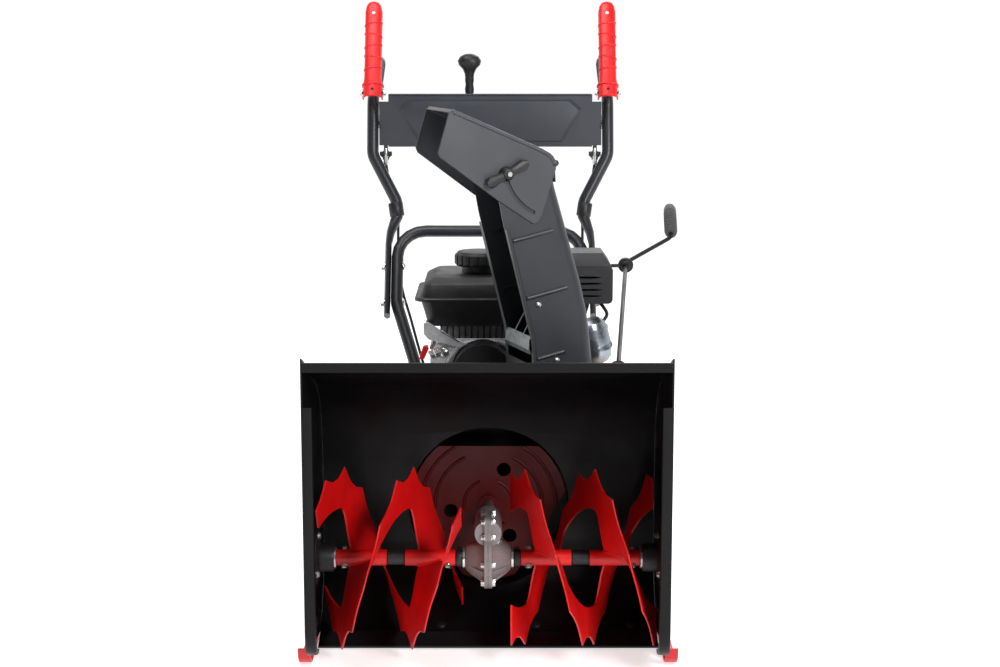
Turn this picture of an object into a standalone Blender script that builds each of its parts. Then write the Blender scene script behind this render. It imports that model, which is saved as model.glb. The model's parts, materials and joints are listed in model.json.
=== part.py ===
"""Two stage snow thrower, 610 mm class, as an assembly of separate named pieces.

Metres, +Z up. The machine is drawn in its own frame: X to the right as seen from the front, Y from the
front lip of the auger housing towards the operator, Z from the ground. An empty called "machine" then
moves all of it so that the middle of the footprint stands on the world origin.
"""

import math

import bmesh
import bpy
from mathutils import Matrix, Vector

# ---------------------------------------------------------------- driving dimensions
FOOTPRINT_CENTRE = (0.0396, 0.6124)  # middle of the bounding box, in the machine frame
GAP = 0.0003  # between pieces that touch
SHEET = 0.003  # steel sheet of the auger housing

HOUSING_HALF = 0.3110  # outside of a side plate
SHELL_HALF = HOUSING_HALF - SHEET - GAP
LIP_DROP = 0.013  # height of the rolled front lip
LIP_DEPTH = 0.004

AUGER_Y, AUGER_Z = 0.165, 0.178
AUGER_TIP_R = 0.162
AUGER_ROOT_R = 0.1400
AUGER_INNER_R = 0.088
AUGER_LEAD = 0.2475
FLIGHT_THICK = 0.003
TUBE_R, TUBE_BORE_R, AUGER_SHAFT_R = 0.0142, 0.0104, 0.0100
TUBE_SPANS = ((0.058, 0.148), (0.180, 0.270))  # two tube lengths on each side
WEB_SPAN = (0.030, 0.062)  # where a flight reaches in to its tube, from the tube's inner end
FLIGHT_TOP_X = {-1: 0.1465, 1: 0.0655}  # where a flight is at the top, on each side
FLIGHT_FROM = {-1: -144.0, 1: -36.0}  # degrees round from that top to the flight's inner end
FLIGHT_OUTER_END = 0.290
TOOTH_STEP = 9.0  # a quarter of the angle between teeth
FIRST_STEP = {-1: 2, 1: 0}  # quarter of a tooth that each side's flights start on

WALL_R = 0.168  # inside of the housing's lower wall, about the auger
TOP_BEND_CENTRE, TOP_BEND_R, TOP_BEND_END = (0.163, 0.3265), 0.170, 72.0

IMPELLER_Z = 0.230
IMPELLER_R = 0.145
IMPELLER_FLAT = 0.111
IMPELLER_FRONT, IMPELLER_BACK = 0.3390, 0.4150
DRUM_R, DRUM_BACK = 0.1525, 0.4305
IMPELLER_SHAFT_R = 0.0095

CHUTE_X, CHUTE_Y = 0.118, 0.385
CHUTE_TURN = math.radians(19.5)  # how far the discharge points forward of straight left
CHUTE_HALF = 0.066
CHUTE_SHEET = 0.0025
CHUTE_CORNER_R = 0.022
RING_Z = 0.4655
HINGE_U, HINGE_Z = 0.021, 0.868
SLOT_R, SLOT_HALF = 0.0967, 0.0034
SLOT_FROM, SLOT_TO = -9.4, -65.7

CRANK_TIP = Vector((0.2369, 0.3350, 0.4583))
CRANK_EYE = Vector((0.2928, 0.9500, 0.6010))
CRANK_ELBOW = Vector((0.395, 1.000, 0.656))
CRANK_END = Vector((0.4005, 1.105, 0.7085))
CRANK_ROD_R = 0.0045
COIL_R, COIL_WIRE_R, COIL_TURNS, COIL_PITCH = 0.0195, 0.0030, 3, 0.018

FRAME_HALF, FRAME_FRONT, FRAME_REAR = 0.140, 0.4308, 0.900
FRAME_BOTTOM, FRAME_TOP = 0.088, 0.310
AXLE_Y, AXLE_Z, AXLE_R = 0.700, 0.165, 0.0095
COUNTER_Y, COUNTER_Z = 0.6135, 0.195  # hex shaft of the friction wheel, level with the friction disc
TYRE_R, TYRE_IN, TYRE_OUT = 0.165, 0.172, 0.270

CRANKSHAFT_X, CRANKSHAFT_Z = -0.015, 0.420
ENGINE_BASE = FRAME_TOP + GAP
PULLEY_FRONT = 0.478

HANDLE_R = 0.0127
LEG_X, GRIP_X = 0.1987, 0.2546
LEVER_PIVOT = Vector((GRIP_X, 1.018, 0.968))
LEVER_ANGLE = 65.9
GRIP_START, GRIP_END = Vector((GRIP_X, 1.088, 0.9792)), Vector((GRIP_X, 1.215, 1.0300))
SHIFT_X, SHIFT_Y, SHIFT_Z = -0.046, 1.075, 0.845
CABLE_X, CABLE_TOP = 0.2265, 0.8300
FOOT_HALF = 0.0068  # half the thickness of an upper handle where it lies flat against the leg

EPS = 1e-7
WORLD_X, WORLD_Y, WORLD_Z = Vector((1, 0, 0)), Vector((0, 1, 0)), Vector((0, 0, 1))


# ---------------------------------------------------------------- outlines
def polar(centre, radius, degrees):
    angle = math.radians(degrees)
    return (centre[0] + radius * math.cos(angle), centre[1] + radius * math.sin(angle))


def arc(centre, radius, start, end, steps):
    return [polar(centre, radius, start + (end - start) * i / steps) for i in range(steps + 1)]


def rounded_box(half_a, half_b, radius, steps=3, centre=(0.0, 0.0)):
    """Outline of a rectangle with round corners."""
    points = []
    for quarter, (sa, sb) in enumerate(((1, 1), (-1, 1), (-1, -1), (1, -1))):
        corner = (centre[0] + sa * (half_a - radius), centre[1] + sb * (half_b - radius))
        points += arc(corner, radius, 90 * quarter, 90 * quarter + 90, steps)
    return points


def superellipse(centre, half_x, half_y, power, steps):
    """A ring that goes from a circle (power 2) towards a rectangle (high power)."""
    points = []
    for i in range(steps):
        c, s = math.cos(2 * math.pi * i / steps), math.sin(2 * math.pi * i / steps)
        points.append((centre[0] + half_x * math.copysign(abs(c) ** (2 / power), c),
                       centre[1] + half_y * math.copysign(abs(s) ** (2 / power), s)))
    return points


def filleted(points, radius, steps=5):
    """A polyline in space with each inner corner replaced by an arc."""
    path = [Vector(points[0])]
    for before, corner, after in zip(points, points[1:], points[2:]):
        before, corner, after = Vector(before), Vector(corner), Vector(after)
        a, b = (before - corner).normalized(), (after - corner).normalized()
        inside = a.angle(b)
        if inside > math.pi - 0.02:
            path.append(corner)
            continue
        reach = radius / math.tan(inside / 2)
        centre = corner + (a + b).normalized() * radius / math.sin(inside / 2)
        start = corner + a * reach - centre
        axis = start.cross(corner + b * reach - centre)
        for i in range(steps + 1):
            path.append(centre + Matrix.Rotation((math.pi - inside) * i / steps, 3, axis) @ start)
    path.append(Vector(points[-1]))
    return path


# ---------------------------------------------------------------- mesh builders
def add_loft(bm, rings, closed=False):
    """Skin rings with equal counts; the ends are capped unless the last ring joins the first."""
    loops = [[bm.verts.new(point) for point in ring] for ring in rings]
    pairs = list(zip(loops, loops[1:]))
    if closed:
        pairs.append((loops[-1], loops[0]))
    for first, second in pairs:
        for i in range(len(first)):
            j = (i + 1) % len(first)
            bm.faces.new((first[i], first[j], second[j], second[i]))
    if not closed:
        bm.faces.new(loops[0])
        bm.faces.new(loops[-1])


def add_prism(bm, outline, axis, low, high):
    """Extrude a flat outline along X, Y or Z; the outline holds the other two in order."""
    place = {"X": lambda p, d: (d, p[0], p[1]), "Y": lambda p, d: (p[0], d, p[1]),
             "Z": lambda p, d: (p[0], p[1], d)}[axis]
    add_loft(bm, [[place(p, d) for p in outline] for d in (low, high)])


def add_box(bm, low, high):
    outline = [(low[0], low[1]), (high[0], low[1]), (high[0], high[1]), (low[0], high[1])]
    add_prism(bm, outline, "Z", low[2], high[2])


def across(direction):
    """Two unit vectors square to a direction and to each other."""
    w = Vector(direction).normalized()
    guide = WORLD_Z if abs(w.z) < 0.9 else WORLD_X
    u = guide.cross(w).normalized()
    return u, w.cross(u)


def add_lathe(bm, profile, centre, axis, steps=24):
    """Turn a closed profile of (radius, distance along the axis) about an axis."""
    w = Vector(axis).normalized()
    u, v = across(w)
    rows = []
    for radius, along in profile:
        base = Vector(centre) + w * along
        if radius < EPS:
            rows.append([bm.verts.new(base)])
            continue
        turns = [2 * math.pi * i / steps for i in range(steps)]
        rows.append([bm.verts.new(base + (u * math.cos(t) + v * math.sin(t)) * radius) for t in turns])
    for first, second in zip(rows, rows[1:] + rows[:1]):
        for i in range(steps):
            j = (i + 1) % steps
            if len(first) == 1 and len(second) == 1:
                break
            if len(first) == 1:
                bm.faces.new((first[0], second[j], second[i]))
            elif len(second) == 1:
                bm.faces.new((first[i], first[j], second[0]))
            else:
                bm.faces.new((first[i], first[j], second[j], second[i]))


def add_ring(bm, inner, outer, centre, axis, low, high, steps=24):
    add_lathe(bm, [(inner, low), (outer, low), (outer, high), (inner, high)], centre, axis, steps)


def add_disc(bm, radius, centre, axis, low, high, steps=24):
    add_lathe(bm, [(0, low), (radius, low), (radius, high), (0, high)], centre, axis, steps)


def add_tube(bm, path, radius, sides=10, guide=None):
    """Sweep a circle, or an ellipse given as (along guide, across it) at each point, down a path."""
    path = [Vector(point) for point in path]
    count = len(path)
    sizes = radius if isinstance(radius, list) else [(radius, radius)] * count
    tangents = [(path[min(i + 1, count - 1)] - path[max(i - 1, 0)]).normalized() for i in range(count)]
    side = Vector(guide) if guide else across(tangents[0])[0]
    rings = []
    for point, tangent, (half_a, half_b) in zip(path, tangents, sizes):
        side = (side - tangent * side.dot(tangent)).normalized()
        other = tangent.cross(side)
        turns = [2 * math.pi * i / sides for i in range(sides)]
        rings.append([point + side * (half_a * math.cos(t)) + other * (half_b * math.sin(t)) for t in turns])
    add_loft(bm, rings)


# ---------------------------------------------------------------- finishes and objects
def finish(name, colour, roughness, metallic=0.0):
    material = bpy.data.materials.new(name)
    material.use_nodes = True
    shader = material.node_tree.nodes["Principled BSDF"]
    shader.inputs["Base Color"].default_value = (*colour, 1.0)
    shader.inputs["Roughness"].default_value = roughness
    shader.inputs["Metallic"].default_value = metallic
    return material


def make_finishes():
    return {
        "charcoal_paint": finish("charcoal_paint", (0.040, 0.042, 0.052), 0.42, 0.2),
        "chute_paint": finish("chute_paint", (0.075, 0.080, 0.098), 0.40, 0.2),
        "red_paint": finish("red_paint", (0.62, 0.010, 0.012), 0.35),
        "dark_red_paint": finish("dark_red_paint", (0.15, 0.006, 0.008), 0.45),
        "red_plastic": finish("red_plastic", (0.70, 0.012, 0.014), 0.38),
        "black_plastic": finish("black_plastic", (0.012, 0.012, 0.014), 0.50),
        "black_steel": finish("black_steel", (0.016, 0.016, 0.018), 0.40, 0.3),
        "bright_steel": finish("bright_steel", (0.55, 0.56, 0.58), 0.28, 1.0),
        "cast_aluminium": finish("cast_aluminium", (0.42, 0.40, 0.40), 0.50, 0.9),
        "galvanised": finish("galvanised", (0.36, 0.41, 0.46), 0.40, 0.8),
        "rubber": finish("rubber", (0.014, 0.014, 0.015), 0.80),
        "tyre": finish("tyre", (0.018, 0.018, 0.018), 0.88),
    }


def link(name, bm, pivot):
    bmesh.ops.recalc_face_normals(bm, faces=bm.faces)
    bmesh.ops.translate(bm, verts=bm.verts, vec=-Vector(pivot))
    mesh = bpy.data.meshes.new(name)
    bm.to_mesh(mesh)
    bm.free()
    obj = bpy.data.objects.new(name, mesh)
    obj.location = pivot
    obj.parent = MACHINE
    bpy.context.scene.collection.objects.link(obj)
    return obj


def piece(name, bm, material, pivot=(0, 0, 0), sharp=32):
    """One named sub-part, with its origin at the pivot."""
    obj = link(name, bm, pivot)
    obj.data.shade_smooth()
    obj.data.set_sharp_from_angle(angle=math.radians(sharp))
    obj.data.materials.append(FINISHES[material])
    return obj


def tool(target, bm, operation):
    """A hidden shape that is joined to, or cut from, the target."""
    obj = link(target.name + "_" + operation.lower() + "_tool", bm, (0, 0, 0))
    obj.hide_render = True
    obj.display_type = "WIRE"
    modifier = target.modifiers.new(operation, "BOOLEAN")
    modifier.operation = operation
    modifier.solver = "EXACT"
    modifier.object = obj


# ---------------------------------------------------------------- auger housing
def housing_path(offset, start=-68.0):
    """The wall in the Y-Z plane from the scraper round the back and up to the front lip."""
    low = arc((AUGER_Y, AUGER_Z), WALL_R + offset, start, 0, 10)
    high = arc(TOP_BEND_CENTRE, TOP_BEND_R + offset, 0, TOP_BEND_END, 9)
    turn = math.radians(TOP_BEND_END)
    run = (high[-1][0] - LIP_DEPTH) / math.sin(turn)
    lip = (LIP_DEPTH, high[-1][1] + run * math.cos(turn))
    return low + high + [lip]


def make_housing():
    inner, outer = housing_path(0), housing_path(SHEET)
    lip_y, lip_z = inner[-1]
    lip = [(lip_y, lip_z - LIP_DROP), (0.0, lip_z - LIP_DROP), (0.0, outer[-1][1])]
    bm = bmesh.new()
    add_prism(bm, inner + lip + outer[::-1], "X", -SHELL_HALF, SHELL_HALF)
    shell = piece("housing_shell", bm, "charcoal_paint")
    cut = bmesh.new()
    add_disc(cut, DRUM_R - SHEET, (0, 0, IMPELLER_Z), WORLD_Y, 0.24, 0.40, 40)
    tool(shell, cut, "DIFFERENCE")

    margin = housing_path(0.009, -65.0)
    outline = arc((0.055, 0.093), 0.055, 180, 270, 4) + margin + [(0.0, margin[-1][1] + 0.001)]
    for side, word in ((-1, "left"), (1, "right")):
        bm = bmesh.new()
        add_prism(bm, outline, "X", side * (HOUSING_HALF - SHEET), side * HOUSING_HALF)
        piece("side_plate_" + word, bm, "charcoal_paint")

    bm = bmesh.new()
    low = arc((AUGER_Y, AUGER_Z), WALL_R + SHEET + 2 * GAP, -84, -58, 5)
    high = arc((AUGER_Y, AUGER_Z), WALL_R + SHEET + 0.0045, -84, -58, 5)
    add_prism(bm, low + high[::-1], "X", -SHELL_HALF, SHELL_HALF)
    piece("scraper_bar", bm, "black_steel")


def make_skids():
    for side, word in ((-1, "left"), (1, "right")):
        inside = HOUSING_HALF + GAP
        ski = [(0.082, 0.036), (0.088, 0.018), (0.104, 0.005), (0.124, 0.0), (0.270, 0.0), (0.290, 0.005),
               (0.306, 0.018), (0.312, 0.036), (0.308, 0.037), (0.302, 0.021), (0.288, 0.009),
               (0.269, 0.004), (0.125, 0.004), (0.106, 0.009), (0.092, 0.021), (0.086, 0.037)]
        bm = bmesh.new()
        add_prism(bm, ski, "X", side * inside, side * 0.333)
        shoe = piece("skid_shoe_" + word, bm, "red_paint")
        plate = bmesh.new()
        web = [(0.133, 0.002), (0.261, 0.002), (0.258, 0.085), (0.245, 0.098), (0.150, 0.098), (0.137, 0.085)]
        add_prism(plate, web, "X", side * inside, side * (inside + 0.004))
        tool(shoe, plate, "UNION")


def make_drum():
    """Impeller drum: a short can behind the housing with a throat that rises to the chute ring."""
    centre = (0, 0, IMPELLER_Z)
    bm = bmesh.new()
    add_disc(bm, DRUM_R, centre, WORLD_Y, 0.27, DRUM_BACK, 36)
    drum = piece("impeller_drum", bm, "charcoal_paint")

    def throat(wall, low, high):
        base = superellipse((0.0955, 0.3840), 0.0570 - wall, 0.0460 - wall, 9, 20)
        middle = superellipse((0.1080, 0.3838), 0.0640 - wall, 0.0463 - wall, 5, 20)
        top = superellipse((CHUTE_X, CHUTE_Y), 0.0740 - wall, 0.0740 - wall, 2, 20)
        levels = ((base, low), (base, 0.270), (middle, 0.370), (top, 0.435), (top, high))
        return [[(x, y, z) for x, y in ring] for ring, z in levels]

    riser = bmesh.new()
    add_loft(riser, throat(0, 0.235, RING_Z - GAP))
    tool(drum, riser, "UNION")
    rim = bmesh.new()
    add_disc(rim, 0.082, (CHUTE_X, CHUTE_Y, 0), WORLD_Z, RING_Z - 0.0045, RING_Z - 1.5 * GAP, 28)
    tool(drum, rim, "UNION")
    hollow = bmesh.new()
    add_disc(hollow, DRUM_R - SHEET, centre, WORLD_Y, 0.20, DRUM_BACK - SHEET, 36)
    tool(drum, hollow, "DIFFERENCE")
    passage = bmesh.new()
    add_loft(passage, throat(SHEET + 0.0004, 0.225, RING_Z + 0.02))
    tool(drum, passage, "DIFFERENCE")
    wall = bmesh.new()
    inside = housing_path(SHEET + GAP)
    add_prism(wall, inside + [(-0.05, inside[-1][1] + 0.01), (-0.05, -0.05)], "X", -0.4, 0.4)
    tool(drum, wall, "DIFFERENCE")
    hole = bmesh.new()
    add_disc(hole, 0.0105, centre, WORLD_Y, 0.42, 0.44, 20)
    tool(drum, hole, "DIFFERENCE")


# ---------------------------------------------------------------- first stage: augers and gearbox
def flight_inner_radius(distance):
    """Inner edge of a flight: it runs in to the tube at each tube length's web."""
    for start, _ in TUBE_SPANS:
        low, high = start + WEB_SPAN[0], start + WEB_SPAN[1]
        away = max(low - distance, distance - high, 0.0)
        if away < 0.014:
            return 0.0125 + (AUGER_INNER_R - 0.0125) * away / 0.014
    return AUGER_INNER_R


def make_augers():
    teeth = (AUGER_TIP_R, AUGER_ROOT_R + 0.0045, AUGER_ROOT_R, AUGER_ROOT_R + 0.0045)
    for side, word in ((-1, "left"), (1, "right")):
        first = FLIGHT_TOP_X[side] + AUGER_LEAD * FLIGHT_FROM[side] / 360
        count = int((FLIGHT_OUTER_END - first) / AUGER_LEAD * 360 / TOOTH_STEP)
        pivot = (0, AUGER_Y, AUGER_Z)
        bm = bmesh.new()
        for start, end in TUBE_SPANS:
            add_ring(bm, TUBE_BORE_R, TUBE_R, pivot, WORLD_X, side * start, side * end, 20)
        auger = piece("auger_" + word, bm, "red_paint", pivot, 40)
        for start_number in range(2):
            flight = bmesh.new()
            rings = []
            for i in range(count + 1):
                distance = first + AUGER_LEAD * i * TOOTH_STEP / 360
                beta = math.radians(90 + FLIGHT_FROM[side] + i * TOOTH_STEP + 180 * start_number)
                outer = teeth[(i + FIRST_STEP[side]) % len(teeth)]
                inner = flight_inner_radius(distance)
                ring = []
                for radius, shift in ((inner, -1), (outer, -1), (outer, 1), (inner, 1)):
                    ring.append((side * (distance + shift * FLIGHT_THICK / 2),
                                 AUGER_Y + radius * math.cos(beta), AUGER_Z + radius * math.sin(beta)))
                rings.append(ring)
            add_loft(flight, rings)
            tool(auger, flight, "UNION")

    bm = bmesh.new()
    add_disc(bm, AUGER_SHAFT_R, (0, AUGER_Y, AUGER_Z), WORLD_X, -0.3060, 0.3060, 20)
    piece("auger_shaft", bm, "black_steel", (0, AUGER_Y, AUGER_Z))

    for side, word in ((-1, "left"), (1, "right")):
        inner_face = HOUSING_HALF - SHEET - GAP
        profile = [(0.0103, 0.274), (0.024, 0.274), (0.025, 0.277), (0.025, 0.298), (0.048, 0.303),
                   (0.048, inner_face), (0.0103, inner_face)]
        bm = bmesh.new()
        add_lathe(bm, [(r, side * x) for r, x in profile], (0, AUGER_Y, AUGER_Z), WORLD_X, 20)
        piece("auger_bearing_" + word, bm, "black_plastic")


def make_gearbox():
    """Worm gearbox: two cast halves that meet on a vertical flange, with the worm above the wheel."""
    axis_point, worm_point = (0, AUGER_Y, AUGER_Z), (0, 0, IMPELLER_Z)
    for side, word in ((-1, "left"), (1, "right")):
        profile = [(0.0108, GAP), (0.0547, GAP), (0.0547, 0.0065), (0.0430, 0.0075), (0.0340, 0.0180),
                   (0.0240, 0.0370), (0.0190, 0.0405), (0.0108, 0.0405)]
        bm = bmesh.new()
        add_lathe(bm, [(r, side * x) for r, x in profile], axis_point, WORLD_X, 24)
        half = piece("gearbox_" + word, bm, "cast_aluminium")
        boss = bmesh.new()
        add_lathe(boss, [(0, 0.136), (0.0235, 0.136), (0.0245, 0.139), (0.0245, 0.236), (0.018, 0.2450),
                         (0, 0.2450)], worm_point, WORLD_Y, 24)
        tool(half, boss, "UNION")
        rim = bmesh.new()
        plate = rounded_box(0.0340, 0.0295, 0.010, 3, (0.1620, 0.2300))
        add_prism(rim, plate, "X", -side * 0.0010, side * 0.0061)
        tool(half, rim, "UNION")
        keep = bmesh.new()
        add_box(keep, (min(side * GAP, side * 0.06), 0.0, 0.05), (max(side * GAP, side * 0.06), 0.3, 0.32))
        tool(half, keep, "INTERSECT")
        cavity = bmesh.new()
        add_disc(cavity, 0.0385, axis_point, WORLD_X, -0.0125, 0.0125, 24)
        tool(half, cavity, "DIFFERENCE")
        worm_room = bmesh.new()
        add_disc(worm_room, 0.0165, worm_point, WORLD_Y, 0.142, 0.190, 20)
        tool(half, worm_room, "DIFFERENCE")
        shaft_room = bmesh.new()
        add_disc(shaft_room, 0.0098, worm_point, WORLD_Y, 0.185, 0.260, 20)
        tool(half, shaft_room, "DIFFERENCE")

    bm = bmesh.new()
    add_ring(bm, AUGER_SHAFT_R + GAP, 0.0335, axis_point, WORLD_X, -0.0105, 0.0105, 24)
    piece("worm_wheel", bm, "bright_steel", axis_point)


# ---------------------------------------------------------------- second stage: impeller
def make_impeller():
    centre = (0, IMPELLER_Z)
    corner = math.degrees(math.acos(IMPELLER_FLAT / IMPELLER_R))
    outline = []
    for lobe in (30, 150, 270):
        outline += arc(centre, IMPELLER_R, lobe - 60 + corner, lobe + 60 - corner, 6)
    bm = bmesh.new()
    add_prism(bm, outline, "Y", IMPELLER_FRONT, IMPELLER_FRONT + SHEET)
    impeller = piece("impeller", bm, "dark_red_paint", (0, 0, IMPELLER_Z))
    for lobe in (30, 150, 270):
        paddle = bmesh.new()
        ends = [polar(centre, 0.012, lobe), polar(centre, 0.080, lobe + 4), polar(centre, 0.142, lobe - 4)]
        backs = [polar(end, 0.004, lobe + 90) for end in ends[::-1]]
        add_prism(paddle, ends + backs, "Y", IMPELLER_FRONT + 0.001, IMPELLER_BACK)
        tool(impeller, paddle, "UNION")
    hub = bmesh.new()
    add_disc(hub, 0.019, (0, 0, IMPELLER_Z), WORLD_Y, IMPELLER_FRONT - 0.004, IMPELLER_BACK, 20)
    tool(impeller, hub, "UNION")
    holes = bmesh.new()
    for angle in (67, 190, 303):
        x, z = polar(centre, 0.072, angle)
        add_disc(holes, 0.013, (x, 0, z), WORLD_Y, 0.330, 0.348, 20)
    tool(impeller, holes, "DIFFERENCE")
    bore = bmesh.new()
    add_disc(bore, IMPELLER_SHAFT_R + GAP, (0, 0, IMPELLER_Z), WORLD_Y, 0.32, 0.43, 20)
    tool(impeller, bore, "DIFFERENCE")

    bm = bmesh.new()
    profile = [(0, 0.1445), (0.009, 0.1445), (0.0135, 0.148), (0.0135, 0.186), (IMPELLER_SHAFT_R, 0.189),
               (IMPELLER_SHAFT_R, 0.4960), (0, 0.4960)]
    add_lathe(bm, profile, (0, 0, IMPELLER_Z), WORLD_Y, 20)
    piece("impeller_shaft", bm, "bright_steel", (0, 0, IMPELLER_Z))

    bm = bmesh.new()
    add_pulley(bm, 0.088, (0, PULLEY_FRONT, IMPELLER_Z), 0.015, IMPELLER_SHAFT_R + GAP)
    piece("auger_pulley", bm, "cast_aluminium", (0, 0, IMPELLER_Z))


def add_pulley(bm, radius, front, width, bore, steps=24):
    """A V pulley that turns about Y."""
    profile = [(bore, 0), (radius, 0), (radius, 0.0015), (radius - 0.010, width * 0.4),
               (radius - 0.010, width * 0.6), (radius, width - 0.0015), (radius, width), (bore, width)]
    add_lathe(bm, profile, front, WORLD_Y, steps)


# ---------------------------------------------------------------- discharge chute
def chute_point(u, w, z):
    """From the chute's own frame: u along the discharge, w towards the side that faces forward."""
    c, s = math.cos(CHUTE_TURN), math.sin(CHUTE_TURN)
    return Vector((CHUTE_X - u * c + w * s, CHUTE_Y - u * s - w * c, z))


def add_chute_plate(bm, outline, low, high):
    """A plate in the chute's u-z plane, from low to high across it."""
    add_loft(bm, [[chute_point(u, w, z) for u, z in outline] for w in (low, high)])


def chute_channel(back, front, z):
    """Level section of the chute: a back wall and two sides, with round corners between them."""
    ring = []
    for inset in (0.0, CHUTE_SHEET):
        radius, across = CHUTE_CORNER_R - inset, CHUTE_HALF - inset
        centre = back + CHUTE_CORNER_R
        half = [(front, across)] + arc((centre, CHUTE_HALF - CHUTE_CORNER_R), radius, 90, 180, 5)
        wall = half + [(u, -w) for u, w in half[::-1]]
        ring += wall[::-1] if inset else wall
    return [chute_point(u, w, z) for u, w in ring]


def make_chute():
    pivot = (CHUTE_X, CHUTE_Y, RING_Z)
    teeth = 36
    outline = []
    for i in range(teeth):
        for part, radius in ((0.0, 0.0985), (0.5, 0.0985), (0.56, 0.0935), (0.94, 0.0935)):
            outline.append(polar((CHUTE_X, CHUTE_Y), radius, 360 * (i + part) / teeth))
    bm = bmesh.new()
    add_prism(bm, outline, "Z", RING_Z, RING_Z + 0.004)
    flange = piece("chute_flange", bm, "black_plastic", pivot)
    hole = bmesh.new()
    add_disc(hole, 0.0710, (CHUTE_X, CHUTE_Y, 0), WORLD_Z, RING_Z - 0.01, RING_Z + 0.02, 32)
    tool(flange, hole, "DIFFERENCE")

    walls = ((0.4720, -0.0620, 0.0620), (0.5040, -0.0595, 0.0637), (0.5480, -0.0550, 0.0660),
             (0.5970, -0.0480, 0.0783), (0.6520, -0.0350, 0.0922), (0.7060, -0.0186, 0.1057),
             (0.7700, 0.0000, 0.1218), (0.8240, 0.0160, 0.1321), (0.8380, 0.0190, 0.1337))
    ear = [(0.0420, 0.8200), (0.0260, 0.8360), (0.0215, 0.8560), (0.0240, 0.8720), (0.1250, 0.8720),
           (0.1360, 0.8580), (0.1316, 0.8200)]
    base_z = RING_Z + 0.004 + GAP
    bm = bmesh.new()
    corners = superellipse((0.0, 0.0), 0.0665, CHUTE_HALF, 7, 24)
    add_loft(bm, [[chute_point(u, w, z) for u, w in corners] for z in (base_z, base_z + 0.003)])
    body = piece("chute_body", bm, "chute_paint", pivot)
    channel = bmesh.new()
    add_loft(channel, [chute_channel(back, front, z) for z, back, front in walls])
    tool(body, channel, "UNION")
    for side in (-1, 1):
        plate = bmesh.new()
        add_chute_plate(plate, ear, side * (CHUTE_HALF - GAP), side * (CHUTE_HALF - CHUTE_SHEET - GAP))
        tool(body, plate, "UNION")
    skirt = bmesh.new()
    add_chute_plate(skirt, [(0.0605, 0.4720), (0.0630, 0.4720), (0.0650, 0.5000), (0.0625, 0.5000)],
                    -CHUTE_HALF + 0.0005, CHUTE_HALF - 0.0005)
    tool(body, skirt, "UNION")
    passage = bmesh.new()
    add_disc(passage, 0.0600, (CHUTE_X, CHUTE_Y, 0), WORLD_Z, RING_Z - 0.01, 0.4765, 32)
    tool(body, passage, "DIFFERENCE")


def make_deflector():
    """The hinged top of the chute, two side plates under a roof, and the wing knob that clamps it."""
    hinge = chute_point(HINGE_U, 0, HINGE_Z)
    inner, outer = CHUTE_HALF + 0.0006, CHUTE_HALF + 0.0006 + CHUTE_SHEET
    side_outline = [(0.0205, 0.858), (0.0470, 0.776), (0.0540, 0.7640), (0.0640, 0.7605), (0.1320, 0.8060),
                    (0.2380, 0.884), (0.2420, 0.8920), (0.2215, 0.9620), (0.2150, 0.9670), (0.0440, 0.8930),
                    (0.0260, 0.8810), (0.0205, 0.8700)]
    bm = bmesh.new()
    add_chute_plate(bm, side_outline, inner, outer)
    deflector = piece("chute_deflector", bm, "chute_paint", hinge)
    far = bmesh.new()
    add_chute_plate(far, side_outline, -outer, -inner)
    tool(deflector, far, "UNION")
    roof_outline = [(0.0280, 0.8820), (0.0440, 0.8930), (0.2150, 0.9670), (0.2215, 0.9620), (0.2195, 0.9605),
                    (0.2142, 0.9640), (0.0452, 0.8908), (0.0292, 0.8798)]
    roof = bmesh.new()
    add_chute_plate(roof, roof_outline, -inner - 0.0008, inner + 0.0008)
    tool(deflector, roof, "UNION")
    for side in (-1, 1):
        slot = bmesh.new()
        centre = (HINGE_U, HINGE_Z)
        track = arc(centre, SLOT_R + SLOT_HALF, SLOT_FROM + 3, SLOT_TO, 10)
        track += arc(centre, SLOT_R - SLOT_HALF, SLOT_TO, SLOT_FROM + 3, 10)
        add_chute_plate(slot, track, side * (inner - 0.002), side * (outer + 0.002))
        tool(deflector, slot, "DIFFERENCE")
        pin_room = bmesh.new()
        axis = chute_point(0, side, 0) - chute_point(0, 0, 0)
        add_disc(pin_room, 0.0036, hinge, axis, inner - 0.002, outer + 0.002, 16)
        tool(deflector, pin_room, "DIFFERENCE")

    u, z = polar((HINGE_U, HINGE_Z), SLOT_R, SLOT_FROM)
    centre = chute_point(u, 0, z)
    axis = chute_point(0, 1, 0) - chute_point(0, 0, 0)
    bm = bmesh.new()
    hub = [(0, CHUTE_HALF + GAP), (0.0026, CHUTE_HALF + GAP), (0.0026, outer + GAP), (0.0130, outer + GAP),
           (0.0125, outer + 0.012), (0.0085, outer + 0.018), (0, outer + 0.019)]
    add_lathe(bm, hub, centre, axis, 20)
    knob = piece("deflector_knob", bm, "black_plastic", centre)
    along = (chute_point(1, 0, 0) - chute_point(0, 0, 0)).normalized()
    wing_line = (-along * math.cos(math.radians(26)) + WORLD_Z * math.sin(math.radians(26))).normalized()
    wing = bmesh.new()
    rings = []
    for distance, tall in ((-0.042, 0.006), (-0.034, 0.011), (-0.015, 0.0075), (0.015, 0.0075),
                           (0.034, 0.011), (0.042, 0.006)):
        upright = axis.cross(wing_line).normalized()
        spot = centre + wing_line * distance + axis * (outer + 0.0105)
        ring = superellipse((0.0, 0.0), tall, 0.0055, 3, 12)
        rings.append([spot + upright * a + axis * b for a, b in ring])
    add_loft(wing, rings)
    tool(knob, wing, "UNION")


# ---------------------------------------------------------------- chute crank
def crank_axis():
    return (CRANK_EYE - CRANK_TIP).normalized()


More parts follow.
